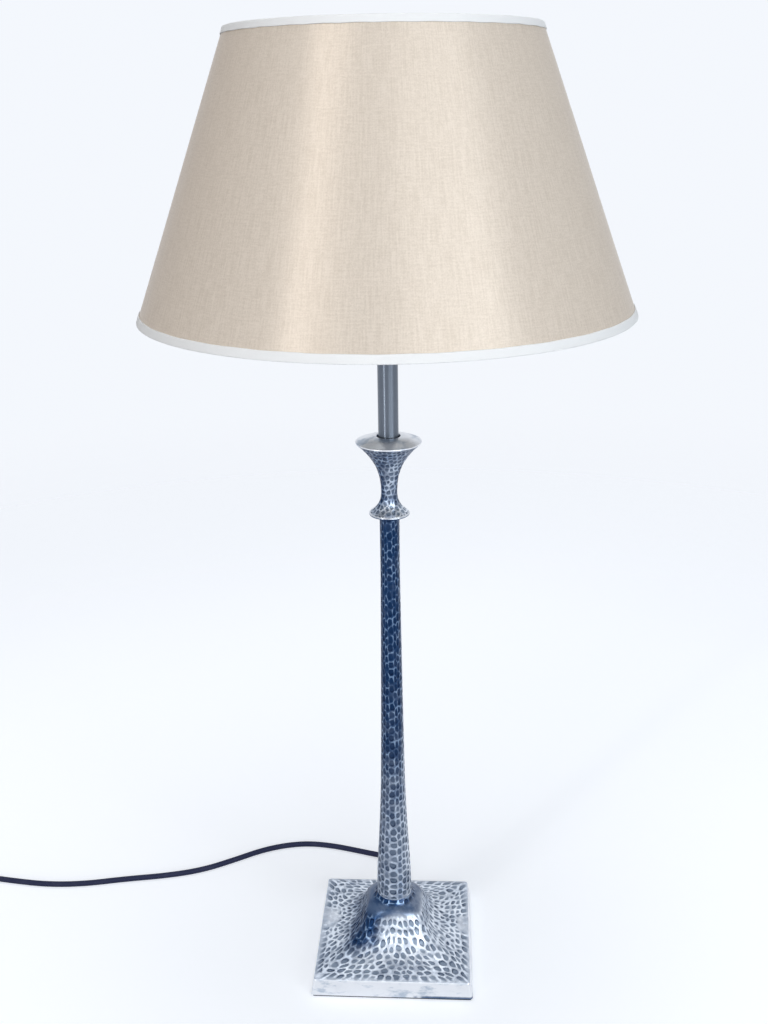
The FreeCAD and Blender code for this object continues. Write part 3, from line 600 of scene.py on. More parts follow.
def coilPoints():
    # flat turns in, half a turn up to the second layer, flat turns out; the spline cuts
    # inside its points, so they stand that much further out
    points = []
    total = lead["turnsIn"] + lead["climb"] + lead["turnsOut"]
    middle = lead["turnsIn"] + lead["climb"] / 2
    wider = 1 / math.cos(math.pi / lead["pointsPerTurn"])
    for index in range(int(total * lead["pointsPerTurn"]) + 1):
        turn = index / lead["pointsPerTurn"]
        radius = (lead["coilInner"] + lead["pitch"] * abs(turn - middle)) * wider
        share = min(max((turn - lead["turnsIn"]) / lead["climb"], 0), 1)
        rise = 2 * share ** 2 if share < 0.5 else 1 - 2 * (1 - share) ** 2
        angle = math.pi / 2 + 2 * math.pi * turn
        points.append((lead["coilCentre"][0] + radius * math.cos(angle),
                       lead["coilCentre"][1] + radius * math.sin(angle),
                       lead["radius"] / mm + lead["pitch"] * rise))
    return points


def makeLead():
    end = lead["tailStart"]
    tail = [tuple(a + b for a, b in zip(end, step)) for step in lead["tail"]]
    points = lead["route"] + coilPoints() + tail
    curve = bpy.data.curves.new("lead", "CURVE")
    curve.dimensions = "3D"
    curve.bevel_depth = lead["radius"]
    curve.bevel_resolution = 6
    curve.resolution_u = 8
    curve.use_fill_caps = True
    spline = curve.splines.new("NURBS")
    spline.points.add(len(points) - 1)
    for point, place in zip(spline.points, points):
        point.co = (*[value * mm for value in place], 1.0)
    spline.order_u = 3
    spline.use_endpoint_u = True
    curve.materials.append(leadBlack)
    made = bpy.data.objects.new("lead", curve)
    scene.collection.objects.link(made)
    return made, tail[-1]


leadPiece, leadEnd = makeLead()
put(leadPiece, "stand", "lead_black", "cord_run", "cord_coil", "cord_tail")
print("lead laid")

plug = {
    "nose": 12.0, "length": 34.0, "halfWidth": 17.6, "halfHeight": 6.8, "columns": 96,
    "noseStart": 3.8, "noseEnd": 4.7, "ribs": 4, "ribDepth": 0.4,
    "grips": 12, "gripDepth": 0.55, "gripFrom": 0.2, "gripTo": 0.62,    # along the body as a share
    "pinSleeve": 10.0,
}


def plugStations():
    # distance along, half width, half height, squareness of the section
    stations = [(0.0, 0.0, 0.0, 2.0), (0.0, 3.3, 3.3, 2.0), (0.25, 3.8, 3.8, 2.0)]
    for place in np.linspace(0.8, plug["nose"] - 1.2, 44):
        radius = np.interp(place, (0, plug["nose"]), (plug["noseStart"], plug["noseEnd"]))
        groove = 0.5 - 0.5 * math.cos(2 * math.pi * plug["ribs"] * place / (plug["nose"] - 1.0))
        radius -= plug["ribDepth"] * soft(0.3, 0.7, groove)
        stations.append((place, radius, radius, 2.0))
    stations += [(plug["nose"], 5.4, 4.75, 2.2), (plug["nose"] + 2.5, 7.7, 4.95, 2.7)]
    for share in np.linspace(0.12, 0.9, 40):
        width = plug["halfWidth"] * (0.44 + 0.56 * math.sin(math.pi / 2 * min(1, share * 1.25)))
        height = plug["halfHeight"] * (0.72 + 0.28 * math.sin(math.pi / 2 * min(1, share * 1.5)))
        if plug["gripFrom"] < share < plug["gripTo"]:
            wave = 0.5 + 0.5 * math.cos(2 * math.pi * share * plug["grips"])
            width -= plug["gripDepth"] * soft(0.3, 0.7, wave)
        stations.append((plug["nose"] + share * plug["length"], width, height, 3.4))
    end = plug["nose"] + plug["length"]
    for back, inset in ((0.9, 0.0), (0.35, 0.25), (0.0, 0.9)):
        stations.append((end - back, plug["halfWidth"] - inset, plug["halfHeight"] - inset, 3.6))
    stations.append((end, 0.0, 0.0, 3.6))
    return stations


def makePlug(entry):
    angle = np.linspace(0, 2 * math.pi, plug["columns"], endpoint=False)
    rows = []
    for place, width, height, square in plugStations():
        across = np.sign(np.cos(angle)) * np.abs(np.cos(angle)) ** (2 / square) * width
        up = np.sign(np.sin(angle)) * np.abs(np.sin(angle)) ** (2 / square) * height
        along = np.full(plug["columns"], entry[0] + place)
        rows.append(np.stack([along, entry[1] + across, entry[2] + up], 1))
    return grid("plug", np.array(rows) * mm, plugBlack, merge=True)


plugPiece = put(makePlug(leadEnd), "stand", "plug_black", "plug_body")
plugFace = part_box("plug_body")[1].x
print("plug made")

# rubber sleeve where the lead leaves the foot, along Y
sleeve = {"height": 9.5, "inside": 68.2, "face": 75.9167, "length": 20.0, "root": 5.4, "tip": 4.1,
          "bore": 3.06, "neck": 4.0, "ribs": 5, "ribDepth": 0.55, "columns": 72}


def makeSleeve():
    tip = sleeve["face"] + sleeve["length"]
    outline = [(sleeve["bore"], sleeve["inside"]), (sleeve["neck"], sleeve["inside"]),
               (sleeve["neck"], sleeve["inside"] + 1.6), (sleeve["root"], sleeve["inside"] + 1.9),
               (sleeve["root"], sleeve["face"] + 0.6)]
    for share in np.linspace(0.05, 0.97, 90):
        radius = sleeve["root"] + (sleeve["tip"] - sleeve["root"]) * share
        groove = soft(0.35, 0.75, 0.5 - 0.5 * math.cos(2 * math.pi * sleeve["ribs"] * share))
        outline.append((radius - sleeve["ribDepth"] * groove, sleeve["face"] + share * sleeve["length"]))
    outline += [(sleeve["tip"] - 0.3, tip), (sleeve["bore"], tip)]
    x, down, along = np.moveaxis(turned(np.array(outline), sleeve["columns"]), 2, 0)
    places = np.stack([x, along, sleeve["height"] - down], 2)
    return grid("sleeve", places * mm, plugBlack, closedAlong=True)


put(makeSleeve(), "stand", "plug_black", "cord_sleeve")
print("sleeve made")

column = {
    "columns": 168, "step": 0.8, "seed": 11, "looseness": 0.2,
    "foot": 17.0, "top": 8.7, "bottom": 66.0, "height": 398.5,
    # share of the height, share of the taper that is left
    "outline": [(0.0, 1.0), (0.07, 0.93), (0.15, 0.71), (0.22, 0.54), (0.29, 0.40),
                (0.42, 0.27), (0.68, 0.10), (0.89, 0.0), (1.0, 0.01)],
    "frontWidth": 30.0,    # degrees of the wide row of dimples that faces the front
    "cells": 19,           # rows of dimples round the column
    # heights, then the value at each of them
    "pitch": ((66, 120, 230, 464), (7.2, 7.8, 8.8, 8.2)),
    "strength": ((66, 250, 464), (1.0, 0.95, 0.85)),
    # painted shade: darker towards the top, under the lamp shade
    "tarnish": ((66, 120, 200, 290, 464), (0.45, 0.54, 0.74, 0.95, 1.0)),
    "depth": ((8.7, 17.0), (0.42, 0.7)),           # of the dimples, by radius
    # painted shade on the left side and a painted reflection on the right
    "shadeAndHighlight": [(0.10, -70, 35), (-0.28, 82, 22)],
}


def columnCells(turn):
    # place round the column in dimples, from degrees off the front
    others = (360 - column["frontWidth"]) / (column["cells"] - 1)
    half = column["frontWidth"] / 2
    across = np.where(np.abs(turn) < half, turn / column["frontWidth"],
                      np.sign(turn) * (0.5 + (np.abs(turn) - half) / others))
    return (across + 0.5) % column["cells"]


foot = {
    "columns": 840, "step": 0.75, "capStep": 3.0, "insideStep": 4.0, "seed": 4, "depth": 0.75,
    "halfBottom": 77.5, "halfTop": 74.5, "bottom": 1.5, "skirtTop": 18.0,
    "rise": 39.0, "shoulder": 27.0, "shoulderRound": 2.0, "rootRise": 9.0, "root": 17.0,
    "wall": 4.5, "bore": 5.2,
    # rounded edges of the skirt: off its half width, corner radius, off its height
    "lowEdge": [(-0.5, 2.0, 0.0), (-0.1, 2.5, 0.35)],
    "highEdge": [(0.25, 2.5, -0.45), (-0.25, 2.5, 0.0)],
    # share of the rise, share of the spread beyond the shoulder, corner radius
    "outline": [(0.0, 1.0, 2.5), (0.05, 0.72, 10.0), (0.13, 0.47, 14.0), (0.28, 0.28, 15.0),
                (0.52, 0.13, 14.0), (0.82, 0.04, 14.0)],
    "slopeStart": 12,      # points of the outline that the skirt's edge stands in for
    "shoulderCorner": 0.62, "rootCorner": 0.96,    # shares of the half width
    # size of a dimple by height: round it on the front and back, on the sides, and up the slope
    "heights": (18, 20, 24, 32, 45, 57),
    "front": (8.2, 7.8, 7.0, 6.4, 5.8, 5.2),
    "side": (7.8, 7.0, 6.2, 5.6, 5.2, 5.0),
    "tall": (6.6, 7.2, 8.4, 9.5, 10.0, 10.0),
    "sideStretch": (1.0, 1.25, 1.5, 1.6, 1.5, 1.4),
    "dimplesEnd": (51.0, 55.5),
    # the column's rows of dimples run out over the root
    "rootStart": (59.5, 62.5), "rootEnd": (65.7, 66.0), "rootPitch": 6.4, "rootLooseness": 0.18,
    # rubbed smooth at the middle of the left and right edges: place and reach
    "worn": [(-66.0, 12.0, 11.0, 17.0), (69.0, 6.0, 7.0, 15.0)],
    # tarnish, with painted shade darkest on the front left slope, a painted highlight on the front one,
    # darker towards the back, and a painted shadow along the lower front edge
    "tarnish": 0.28,
    "slope": ((20.5, 32.0), (56.0, 60.0)),
    "slopeShadeAndHighlight": [(0.90, -52, 30), (0.405, -110, 34), (-0.14, 8, 24)],
    "backDarkening": [(0.25, 180, 50)],
    "rootTarnish": (50, 57.5),
    "edgeShadow": {"height": (2.8, 5.0), "from": (20, 32), "face": -70, "amount": 0.95},
}


def squareRing(half, corner, height, columns):
    # points round a level square with rounded corners, from the middle of the right side
    corner = min(corner, half)
    flat = half - corner
    side = flat + corner * math.pi / 4
    place = (np.arange(columns // 4) / (columns // 4) * 2 - 1) * side
    over = np.clip(np.abs(place) - flat, 0, None) / max(corner, 1e-9)
    out = np.where(over > 0, flat + corner * np.cos(over), half)
    along = np.where(over > 0, np.sign(place) * (flat + corner * np.sin(over)), place)
    turns = []
    for cosine, sine in ((1, 0), (0, 1), (-1, 0), (0, -1)):
        turns.append(np.stack([out * cosine - along * sine, out * sine + along * cosine], 1))
    ring = np.concatenate(turns)
    return np.column_stack([ring, np.full(len(ring), height)])


def footProfile():
    # half width, corner radius and height: out and up the skirt, up the slope and over the root,
    # then down the bore and back through the hollow
    spread = foot["halfTop"] - foot["shoulder"]
    shoulderHeight = foot["skirtTop"] + foot["rise"]
    rootHeight = shoulderHeight + foot["rootRise"]
    ceiling = shoulderHeight - foot["wall"]
    half = foot["shoulder"] - foot["shoulderRound"]
    inner = half - foot["wall"]
    rootHalf = foot["root"] + 0.3 * (foot["shoulder"] - foot["root"])
    slope = [(foot["shoulder"] + spread * share, corner, foot["skirtTop"] + foot["rise"] * up)
             for up, share, corner in foot["outline"]]
    top = [(half, foot["shoulderCorner"] * foot["shoulder"], shoulderHeight),
           (rootHalf, foot["rootCorner"] * rootHalf, shoulderHeight + foot["rootRise"] / 2),
           (foot["root"], foot["root"], rootHeight)]
    skirt = spaced([(half + out, corner, height + up)
                    for half, height, edge in ((foot["halfBottom"], foot["bottom"], foot["lowEdge"]),
                                               (foot["halfTop"], foot["skirtTop"], foot["highEdge"]))
                    for out, corner, up in edge], foot["step"])
    rise = spaced(through(slope + top)[foot["slopeStart"]:], foot["step"])
    under = [(width - foot["wall"], corner, height - foot["wall"]) for width, corner, height in slope]
    under.append((inner, foot["shoulderCorner"] * inner, ceiling))
    boreTop, boreEnd = (foot["bore"], foot["bore"], rootHeight), (foot["bore"], foot["bore"], ceiling)
    lowInside = (foot["halfBottom"] - foot["wall"], 2.5, foot["bottom"])
    step = foot["insideStep"]
    profile = joined(skirt, rise, spaced([rise[-1], boreTop], foot["capStep"]),
                     spaced([boreTop, boreEnd], step), spaced([boreEnd, under[-1]], step),
                     spaced(through(under)[::-1], step), spaced([under[0], lowInside], step))
    return profile, len(skirt) - 1, len(skirt) + len(rise) - 1


def wornPlaces(x, y):
    # 1 where the foot is rubbed smooth, with a ragged edge
    ragged = 0.10 * np.sin(x / 1.9 + 1) * np.sin(y / 2.3) + 0.08 * np.sin(y / 1.1)
    worn = np.zeros(x.shape)
    for placeX, placeY, reachX, reachY in foot["worn"]:
        away = np.hypot((x - placeX) / reachX, (y - placeY) / reachY) + ragged
        worn = np.maximum(worn, 1 - soft(0.62, 1.05, away))
    return worn


def footMarks(places, profile, edge, outer):
    # dimples between the skirt's edge and the bore, and how polished each place is
    x, y, z = np.moveaxis(places, 2, 0)
    height = profile[:, 2]
    widest = np.maximum(np.abs(x), np.abs(y)) + 1e-9
    sideways = soft(0.55, 0.95, np.abs(x) / widest) * (1 - soft(0.75, 1.0, np.abs(y) / widest))
    front, side, tall, drawn = (np.interp(height, foot["heights"], foot[name])
                                for name in ("front", "side", "tall", "sideStretch"))
    width = front[:, None] + (side - front)[:, None] * sideways
    stretch = 1 + (drawn[:, None] - 1) * sideways
    slope = ringDimples(places, edge, outer, width, tall, foot["seed"], stretch)
    travel = np.concatenate([[0], np.cumsum(np.linalg.norm(np.diff(profile[:, ::2], axis=0), axis=1))])
    keep = soft(0.0, 1.0, travel - travel[edge]) * (1 - soft(*foot["dimplesEnd"], height))
    keep[:edge] = 0
    keep[outer:] = 0
    up = np.clip((column["bottom"] - z) / foot["rootPitch"], 0, 3)
    root = rowDimples(columnCells(offFront(x, y)), up, column["cells"], foot["seed"],
                      foot["rootLooseness"])
    fade = (soft(*foot["rootStart"], height) * (1 - soft(*foot["rootEnd"], height)))[:, None]
    fade[outer:] = 0
    dent, wall, crestHighlight = (onSlope * keep[:, None] + onRoot * fade for onSlope, onRoot in zip(slope, root))
    worn = wornPlaces(x, y)
    rootPolish = 0.55 * soft(*foot["rootTarnish"], height)[:, None] * (1 - fade)
    polish = np.maximum(0.45 * worn, rootPolish)
    polish[:edge] = 1
    return {"dent": dent * (1 - 0.85 * worn), "wall": wall * (1 - 0.9 * worn), "crestHighlight": crestHighlight,
            "polish": polish}


def footTarnishAndShade(places, edge, outer):
    x, y, z = np.moveaxis(places, 2, 0)
    turn = offFront(x, y)
    start, end = foot["slope"]
    slope = soft(*start, z) * (1 - soft(*end, z))
    # painted shade on the left slopes and a painted highlight on the front slope, darker towards the
    # back; the last term below paints shade towards the left
    shadeAndHighlight = patches(turn, foot["slopeShadeAndHighlight"]) + patches(np.abs(turn), foot["backDarkening"])
    tarnish = foot["tarnish"] + slope * shadeAndHighlight + 0.08 * soft(-20, -70, x)
    # darker at the root, with painted shade most on its left side
    tarnish += soft(*foot["rootTarnish"], z) * (0.66 - 0.16 * np.sin(np.radians(turn)))
    tarnish[:edge] = 0.05
    # painted shadow along the lower front edge of the skirt, right of the middle
    lowShadow = foot["edgeShadow"]
    ragged = x + 3 * np.sin(x / 2.7) + 1.5 * np.sin(x / 1.1)
    shadowed = (1 - soft(*lowShadow["height"], z)) * soft(*lowShadow["from"], ragged) * (y < lowShadow["face"])
    tarnish[:edge] += lowShadow["amount"] * shadowed[:edge]
    tarnish[outer:] = 0.6
    return np.clip(tarnish, 0, 1)


def makeFoot():
    profile, edge, outer = footProfile()
    places = np.array([squareRing(*row, foot["columns"]) for row in profile])
    marks = footMarks(places, profile, edge, outer)
    marks["tarnish"] = footTarnishAndShade(places, edge, outer)
    places = places - normals(places) * (marks["dent"] * foot["depth"])[..., None]
    return grid("foot", places * mm, pewter, closedAlong=True, marks=marks)


put(makeFoot(), "stand", "hammered_pewter", "foot_casting")
print("foot made")


def makeColumn():
    taper = column["foot"] - column["top"]
    outline = spaced(through([(column["top"] + taper * left, column["bottom"] + column["height"] * up)
                              for up, left in column["outline"]]), column["step"])
    places = turned(outline, column["columns"], -math.pi / 2)
    turn = np.linspace(0, 360, column["columns"], endpoint=False)
    turn = np.where(turn > 180, turn - 360, turn)
    height = outline[:, 1]
    pitch = np.interp(height, *column["pitch"])
    up = np.cumsum(np.full(len(height), column["step"]) / pitch)
    dent, wall, crestHighlight = rowDimples(*np.meshgrid(columnCells(turn), up), column["cells"],
                                   column["seed"], column["looseness"])
    keep = soft(0, 0.6, height - height[0]) * np.interp(height, *column["strength"])
    dent = dent * keep[:, None]
    wall = wall * keep[:, None]
    depth = np.interp(outline[:, 0], *column["depth"])
    places = places - normals(places) * (dent * depth[:, None])[..., None]
    # tarnish with painted shade towards the top and the left, and a painted reflection on the right
    tarnish = np.interp(height, *column["tarnish"])[:, None] + patches(turn, column["shadeAndHighlight"])
    return grid("column", places * mm, pewter,
                marks={"dent": dent, "wall": wall, "crestHighlight": crestHighlight, "polish": 0.0,
                       "tarnish": np.clip(tarnish, 0, 1)})


put(makeColumn(), "stand", "hammered_pewter", "column")
print("column made")

cup = {
    "columns": 264, "step": 0.6, "wellStep": 1.6, "seed": 23, "depth": 0.5, "width": 4.4, "tall": 5.2,
    "bottom": 464.5, "columnTop": 8.7, "collar": 17.9, "collarEdge": 1.8, "collarTop": 467.5,
    "neck": 7.2, "neckHeight": 486.5, "rim": 28.7, "rimHeight": 532.4, "edge": 1.3,
    "rise": 4.6, "flare": 2.4, "collarFlare": 2.6, "socket": 10.2, "floor": 520.0, "bore": 5.2,
    # dark neck, with painted shade most of all on its left and a painted highlight on its front, between
    # a collar and a lip that are rubbed bright
    "tarnish": 0.80, "collarTarnish": 0.18,
    "shadeAndHighlight": [(-0.20, 12, 42), (0.30, -75, 40)],
}


def halfRound(radius, height, reach):
    # outer half of a rounded rim, from below to above
    turn = np.linspace(-math.pi / 2, math.pi / 2, 9)
    return np.column_stack([radius + reach * np.cos(turn), height + reach * np.sin(turn)])


def cupOutline():
    # radius and height: under the collar, round its rim, up the neck and the trumpet, round the
    # lip, over the top and down into the well of the tube; then the lengths of the runs
    edge = cup["collarEdge"] / 2
    bead = cup["edge"] / 2 + 0.1
    lip = cup["rimHeight"] - cup["edge"]
    shares = np.linspace(1, 0, 30)
    collarSpread = cup["collar"] - 0.5 - cup["neck"]
    slope = np.column_stack([cup["neck"] + collarSpread * shares ** cup["collarFlare"],
                             cup["neckHeight"] - (cup["neckHeight"] - cup["collarTop"]) * shares])
    shares = np.linspace(0, 1, 50)[1:]
    trumpet = np.column_stack([cup["neck"] + (cup["rim"] - 0.35 - cup["neck"]) * shares ** cup["flare"],
                               cup["neckHeight"] + (lip - cup["neckHeight"]) * shares])
    shares = np.linspace(0, 1, 30)[1:]
    top = np.column_stack([cup["rim"] - bead + (cup["socket"] + 0.5 - cup["rim"] + bead) * shares,
                           cup["rimHeight"] + 0.1 + cup["rise"] * np.sin(shares * math.pi / 2) ** 1.1])
    collarRim = halfRound(cup["collar"] - edge, cup["collarTop"] - edge, edge)
    lipRim = halfRound(cup["rim"] - bead, lip + cup["edge"] / 2, bead)
    under = spaced([(cup["bore"], cup["bottom"]), (cup["columnTop"], cup["bottom"]), collarRim[0]], 1.0)
    well = spaced([(cup["socket"], cup["rimHeight"] + cup["rise"] - 0.4),
                   (cup["socket"], cup["floor"]), (cup["bore"], cup["floor"]),
                   (cup["bore"], cup["bottom"] + 1)], cup["wellStep"])
    runs = [under, collarRim[1:], spaced(np.concatenate([slope, trumpet]), cup["step"]),
            lipRim[1:], spaced(top, cup["step"]), well]
    return np.concatenate(runs), [len(run) for run in runs]


def makeCup():
    outline, lengths = cupOutline()
    rimStart, wellStart = lengths[0] + 4, len(outline) - lengths[5]
    first = lengths[0] + lengths[1]
    last = first + lengths[2]
    places = turned(outline, cup["columns"], -math.pi / 2)
    dent, wall, crestHighlight = ringDimples(places, first, last, np.full(places.shape[:2], cup["width"]),
                                    np.full(len(outline), cup["tall"]), cup["seed"])
    rows = np.arange(len(outline))
    keep = soft(first, first + 2, rows) * (1 - soft(last - 3, last - 1, rows))
    dent, wall, crestHighlight = (mark * keep[:, None] for mark in (dent, wall, crestHighlight))
    depth = cup["depth"] * np.interp(outline[:, 0], (7, 20), (0.7, 1.0))
    places = places - normals(places) * (dent * depth[:, None])[..., None]
    turn = offFront(places[..., 0], places[..., 1])
    dark = soft(cup["collarTop"] + 1.5, cup["neckHeight"] - 4, outline[:, 1])
    tarnish = cup["collarTarnish"] + (cup["tarnish"] - cup["collarTarnish"]) * dark
    # painted shade on the left of the neck and a painted highlight on its front
    tarnish = tarnish[:, None] + patches(turn, cup["shadeAndHighlight"])
    tarnish *= (1 - soft(last - 1, last + 2, rows))[:, None]
    tarnish[:rimStart] = 0.9
    tarnish[wellStart:] = 1
    rim = soft(rimStart, rimStart + 2, rows) * (1 - soft(first, first + 2, rows))
    return grid("cup", places * mm, pewter, closedAlong=True,
                marks={"dent": dent, "wall": wall, "crestHighlight": crestHighlight,
                       "polish": (soft(last - 2, last + 2, rows) + rim)[:, None],
                       "tarnish": np.clip(tarnish * (1 - rim)[:, None], 0, 1)})


put(makeCup(), "stand", "hammered_pewter", "candle_cup")
print("cup made")

shade = {
    "height": 215.5, "bottomRadius": 202.0, "topRadius": 121.0,
    "fabric": 0.6, "liner": 0.8, "overlap": 9.0, "columns": 460, "rows": 64,
    "sunk": 0.17,                                  # how far the cloth lies inside the solid's face
    "ripples": ((0.10, 9, 40), (0.07, 23, 27)),    # depth, waves round the shade, height of a wave
    "trimBottom": 6.0, "trimTop": 4.8, "trimFold": 2.5, "trim": 0.6, "trimColumns": 420,
    "trimRipple": (0.12, 31),
    # the tape's rounded edge: inward from its end, how far it lies inside the cone
    "trimEdge": ((0.0, 0.35), (0.1, -0.15), (0.35, -0.52), (0.8, -0.58)),
}
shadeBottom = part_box("shade_fabric")[0].z / mm
shadeTop = shadeBottom + shade["height"]
slopeOut = (shade["bottomRadius"] - shade["topRadius"]) / shade["height"]
slant = math.hypot(1, slopeOut)


def onCone(height, inset):
    # radius and height of a point that lies the inset inside the shade's face
    return shade["bottomRadius"] - slopeOut * (height - shadeBottom) - inset * slant, height


def makeFabric():
    # one strip that starts at the back and laps over its own start
    height = shadeBottom + np.linspace(0, 1, shade["rows"])[:, None] * shade["height"]
    lap = shade["overlap"] / shade["bottomRadius"]
    turn = np.linspace(0, 2 * math.pi + lap, shade["columns"])[None, :]
    lifted = soft(2 * math.pi - 0.6 * lap, 2 * math.pi, turn) * (shade["fabric"] + 0.02)
    radius = onCone(height, shade["sunk"])[0] + lifted
    (low, lowWaves, lowHeight), (high, highWaves, highHeight) = shade["ripples"]
    radius = radius + low * np.sin(turn * lowWaves + 0.8) * np.sin((height - shadeBottom) / lowHeight)
    radius = radius + high * np.sin(turn * highWaves) * np.cos(height / highHeight)
    angle = math.pi / 2 + turn
    sheet = np.stack([radius * np.cos(angle), radius * np.sin(angle),
                      np.repeat(height, shade["columns"], 1)], 2)
    return grid("fabric", sheet * mm, satin, closedAround=False)


def makeTrim(name, edge, width, inward):
    # tape folded over a rim; inward is 1 at the bottom and -1 at the top
    sheet = shade["fabric"] + shade["liner"]
    over = edge - inward * shade["trim"]
    end = edge + inward * width
    fold = edge + inward * shade["trimFold"]
    face = [onCone(over + inward * place, inset) for place, inset in shade["trimEdge"]]
    face += [onCone(height, -0.6) for height in np.linspace(edge + inward * 0.8, end - inward * 0.6, 8)]
    face += [onCone(end - inward * 0.2, -0.5), onCone(end, 0.05)]
    back = [onCone(edge, 0.15), onCone(edge, sheet), onCone(fold, sheet), onCone(fold, sheet + 0.55),
            onCone(over + inward * 0.2, sheet + 0.55), onCone(over, sheet)]
    places = turned(np.array(face + back)[::inward], shade["trimColumns"], math.pi / 2)
    turn = np.linspace(0, 2 * math.pi, shade["trimColumns"], endpoint=False)
    depth, waves = shade["trimRipple"]
    awayFromRim = np.abs(places[..., 2] - edge) > 2
    places[..., 2] += depth * np.sin(turn * waves + 1.0) * awayFromRim
    return grid(name, places * mm, tape, closedAlong=True)


fabricPiece = put(makeFabric(), "shade", "champagne_silk", "shade_fabric")
trimLow = makeTrim("tape_bottom", shadeBottom, shade["trimBottom"], 1)
put(trimLow, "shade", "white_tape", "trim_bottom")
trimHigh = makeTrim("tape_top", shadeTop, shade["trimTop"], -1)
put(trimHigh, "shade", "white_tape", "trim_top")


def cutOfTheShade():
    # flat size of the cover before it is rolled up: a sector of a ring
    side = shade["height"] * slant
    outer = shade["bottomRadius"] / (slopeOut / slant)
    inner = outer - side
    half = math.pi * shade["bottomRadius"] / outer + shade["overlap"] / outer / 2
    area = half * (outer ** 2 - inner ** 2)
    return (2 * outer * math.sin(half) * mm, (outer - inner * math.cos(half)) * mm), area * mm * mm


flatSize, flatArea = cutOfTheShade()
print("shade made")

bulb = {"thread": 13.1, "pitch": 3.6, "depth": 0.75, "contact": 4.5, "contactHeight": 1.5, "columns": 120}


def makeBulbCap():
    # contact at the foot, and a round thread between its two smooth ends
    low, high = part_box("bulb_cap")
    bottom, top = low.z / mm, high.z / mm
    start = bottom + bulb["contactHeight"]
    rows = [(0.0, bottom), (bulb["contact"] - 0.8, bottom), (bulb["contact"], bottom + 0.5),
            (bulb["contact"], start), (bulb["thread"] - 2.5, start + 0.4)]
    shell = spaced([(bulb["thread"] - 0.6, start + 3.0), (bulb["thread"] - 0.6, top)], 0.25)
    outline = np.concatenate([np.array(rows), shell, [(0.0, top)]])
    places = turned(outline, bulb["columns"])
    angle = np.linspace(0, 2 * math.pi, bulb["columns"], endpoint=False)
    height = places[..., 2]
    wave = 0.5 + 0.5 * np.cos(2 * math.pi * height / bulb["pitch"] - angle)
    hold = soft(start + 3.2, start + 5.0, height) * (1 - soft(top - 4.5, top - 3.0, height))
    radius = np.hypot(places[..., 0], places[..., 1])
    grown = radius + hold * (wave * bulb["depth"] - 0.15) * (radius > bulb["contact"] + 1)
    places[..., :2] *= (grown / np.maximum(radius, 1e-6))[..., None]
    return grid("bulb_screw_cap", places * mm, capMetal, merge=True)


put(makeBulbCap(), "bulb", "cap_metal", "bulb_cap")
print("bulb cap made")

# pieces that keep their solid
finishes = {
    "felt_pad": feltCloth, "foot_weight": iron, "cord_clamp": zinc, "clamp_screws": zinc,
    "inner_cord": leadBlack, "clamp_washer": zinc, "clamp_nut": zinc, "tie_rod": zinc,
    "tube_bush": holderBlack, "candle_tube": tubeSteel, "tube_cap": tubeSteel, "lock_nut": zinc,
    "holder_cap": holderBlack, "holder_body": holderBlack, "holder_sleeve": brass,
    "centre_contact": brass, "switch_bar": holderBlack, "shade_ring": holderBlack,
    "bulb_glass": glass, "fitter_ring": whiteWire, "fitter_arms": whiteWire,
    "shade_top_wire": whiteWire, "shade_bottom_wire": whiteWire, "shade_liner": lining,
    "plug_pins": pinNickel(plugFace + plug["pinSleeve"] * mm),
}
for name, finish in finishes.items():
    for place in nodes[name].material_slots:
        place.material = finish
print("solids finished")

studio = {
    "background": (0.905, 0.935, 0.985),
    "world": 0.12,
    "floor": (0.72, 0.737, 0.768),
    "floorGlow": (0.570, 0.593, 0.634),
    "floorRadius": 2.4,
    "glowRange": (-1.6, 0.9),    # distances from the lamp between which the glow grows
    "fadeRange": (0.5, 2.2),     # and between which the table turns into the background
}
lamps = {
    "key": {"place": (-1.02, -1.42, 2.10), "aim": (0, 0, 0.7), "size": (0.7, 0.9), "power": 8.0,
            "tint": (1.0, 0.94, 0.86)},
    "strip": {"place": (-1.25, -1.65, 0.72), "aim": (0, 0, 0.6), "size": (0.13, 1.3), "power": 9.0},
    "front": {"place": (1.2, -1.9, 1.35), "aim": (0, 0, 0.55), "size": (1.9, 1.6), "power": 29,
              "tint": (0.93, 0.975, 1.0)},
    "right": {"place": (1.75, -1.3, 1.2), "aim": (0, 0, 0.6), "size": (0.9, 1.6), "power": 7,
              "tint": (0.90, 0.955, 1.0)},
    "top": {"place": (0.0, 0.3, 2.6), "aim": (0, 0, 0), "size": (2.0, 2.0), "power": 15},
}


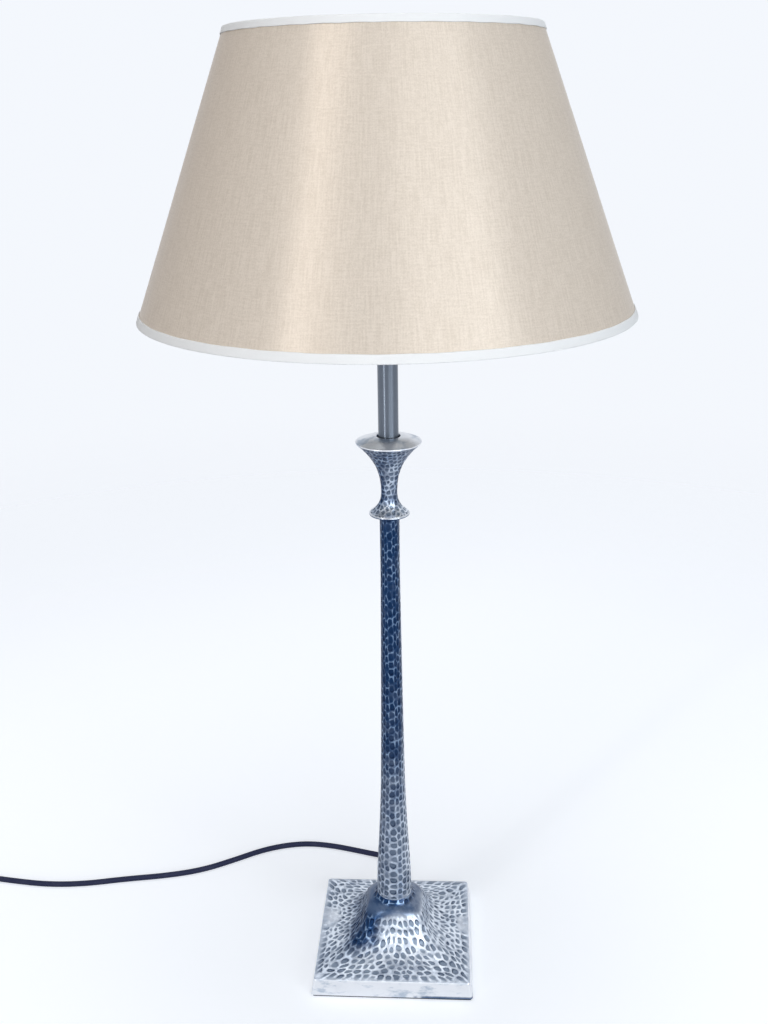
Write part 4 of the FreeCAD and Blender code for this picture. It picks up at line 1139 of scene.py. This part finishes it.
def areaLight(name, facts):
    data = bpy.data.lights.new(name, "AREA")
    data.shape = "RECTANGLE"
    data.size, data.size_y = facts["size"]
    data.energy = facts["power"]
    data.color = facts.get("tint", (1, 1, 1))
    lamp = bpy.data.objects.new(name, data)
    lamp.location = facts["place"]
    beam = Vector(facts["aim"]) - Vector(facts["place"])
    lamp.rotation_euler = beam.to_track_quat("-Z", "Y").to_euler()
    scene.collection.objects.link(lamp)


def seenDirectly(look):
    # 1 for what the camera sees, also by way of metal or glass
    camera, glossy, clear = (look.node("ShaderNodeLightPath", output=f"Is {ray} Ray")
                             for ray in ("Camera", "Glossy", "Transmission"))
    return look.node("ShaderNodeMath", {"operation": "MINIMUM"}, {0: camera + glossy + clear, 1: 1.0})


def makeFloor():
    # pale table that turns into the background further out
    radius = np.concatenate([[0], np.geomspace(0.05, studio["floorRadius"], 30)])
    places = turned(np.column_stack([radius, np.zeros(len(radius))]), 96)[::-1]
    look = Look("pale table", {"Roughness": 0.6, "Specular IOR Level": 0.15, "Emission Strength": 1.0})
    paper = look.noise(3 * mm, 3)
    away = (look.axis("X") ** 2 + look.axis("Y") ** 2) ** 0.5
    glow = seenDirectly(look) * look.step(away, *studio["glowRange"])
    look.feed(Base_Color=look.mix(paper, studio["floor"], [part * 1.02 for part in studio["floor"]]),
              Emission_Color=look.mix(glow, (0, 0, 0), studio["floorGlow"]))
    blend = look.node("ShaderNodeMixShader", values={
        0: look.step(away, *studio["fadeRange"]),
        1: Wire(look, look.shader.outputs[0]),
        2: look.node("ShaderNodeBsdfTransparent")})
    look.tree.links.new(blend.socket, look.tree.nodes["Material Output"].inputs["Surface"])
    floor = grid("floor", places, look.material, merge=True)


def setWorld():
    world = bpy.data.worlds.new("studio")
    scene.world = world
    look = Look("studio", world=world)
    background = look.tree.nodes["Background"]
    background.inputs["Color"].default_value = (*studio["background"], 1.0)
    strength = studio["world"] + seenDirectly(look) * (1.0 - studio["world"])
    look.tree.links.new(strength.socket, background.inputs["Strength"])


for name, facts in lamps.items():
    areaLight(name, facts)
makeFloor()
setWorld()
print("studio set")
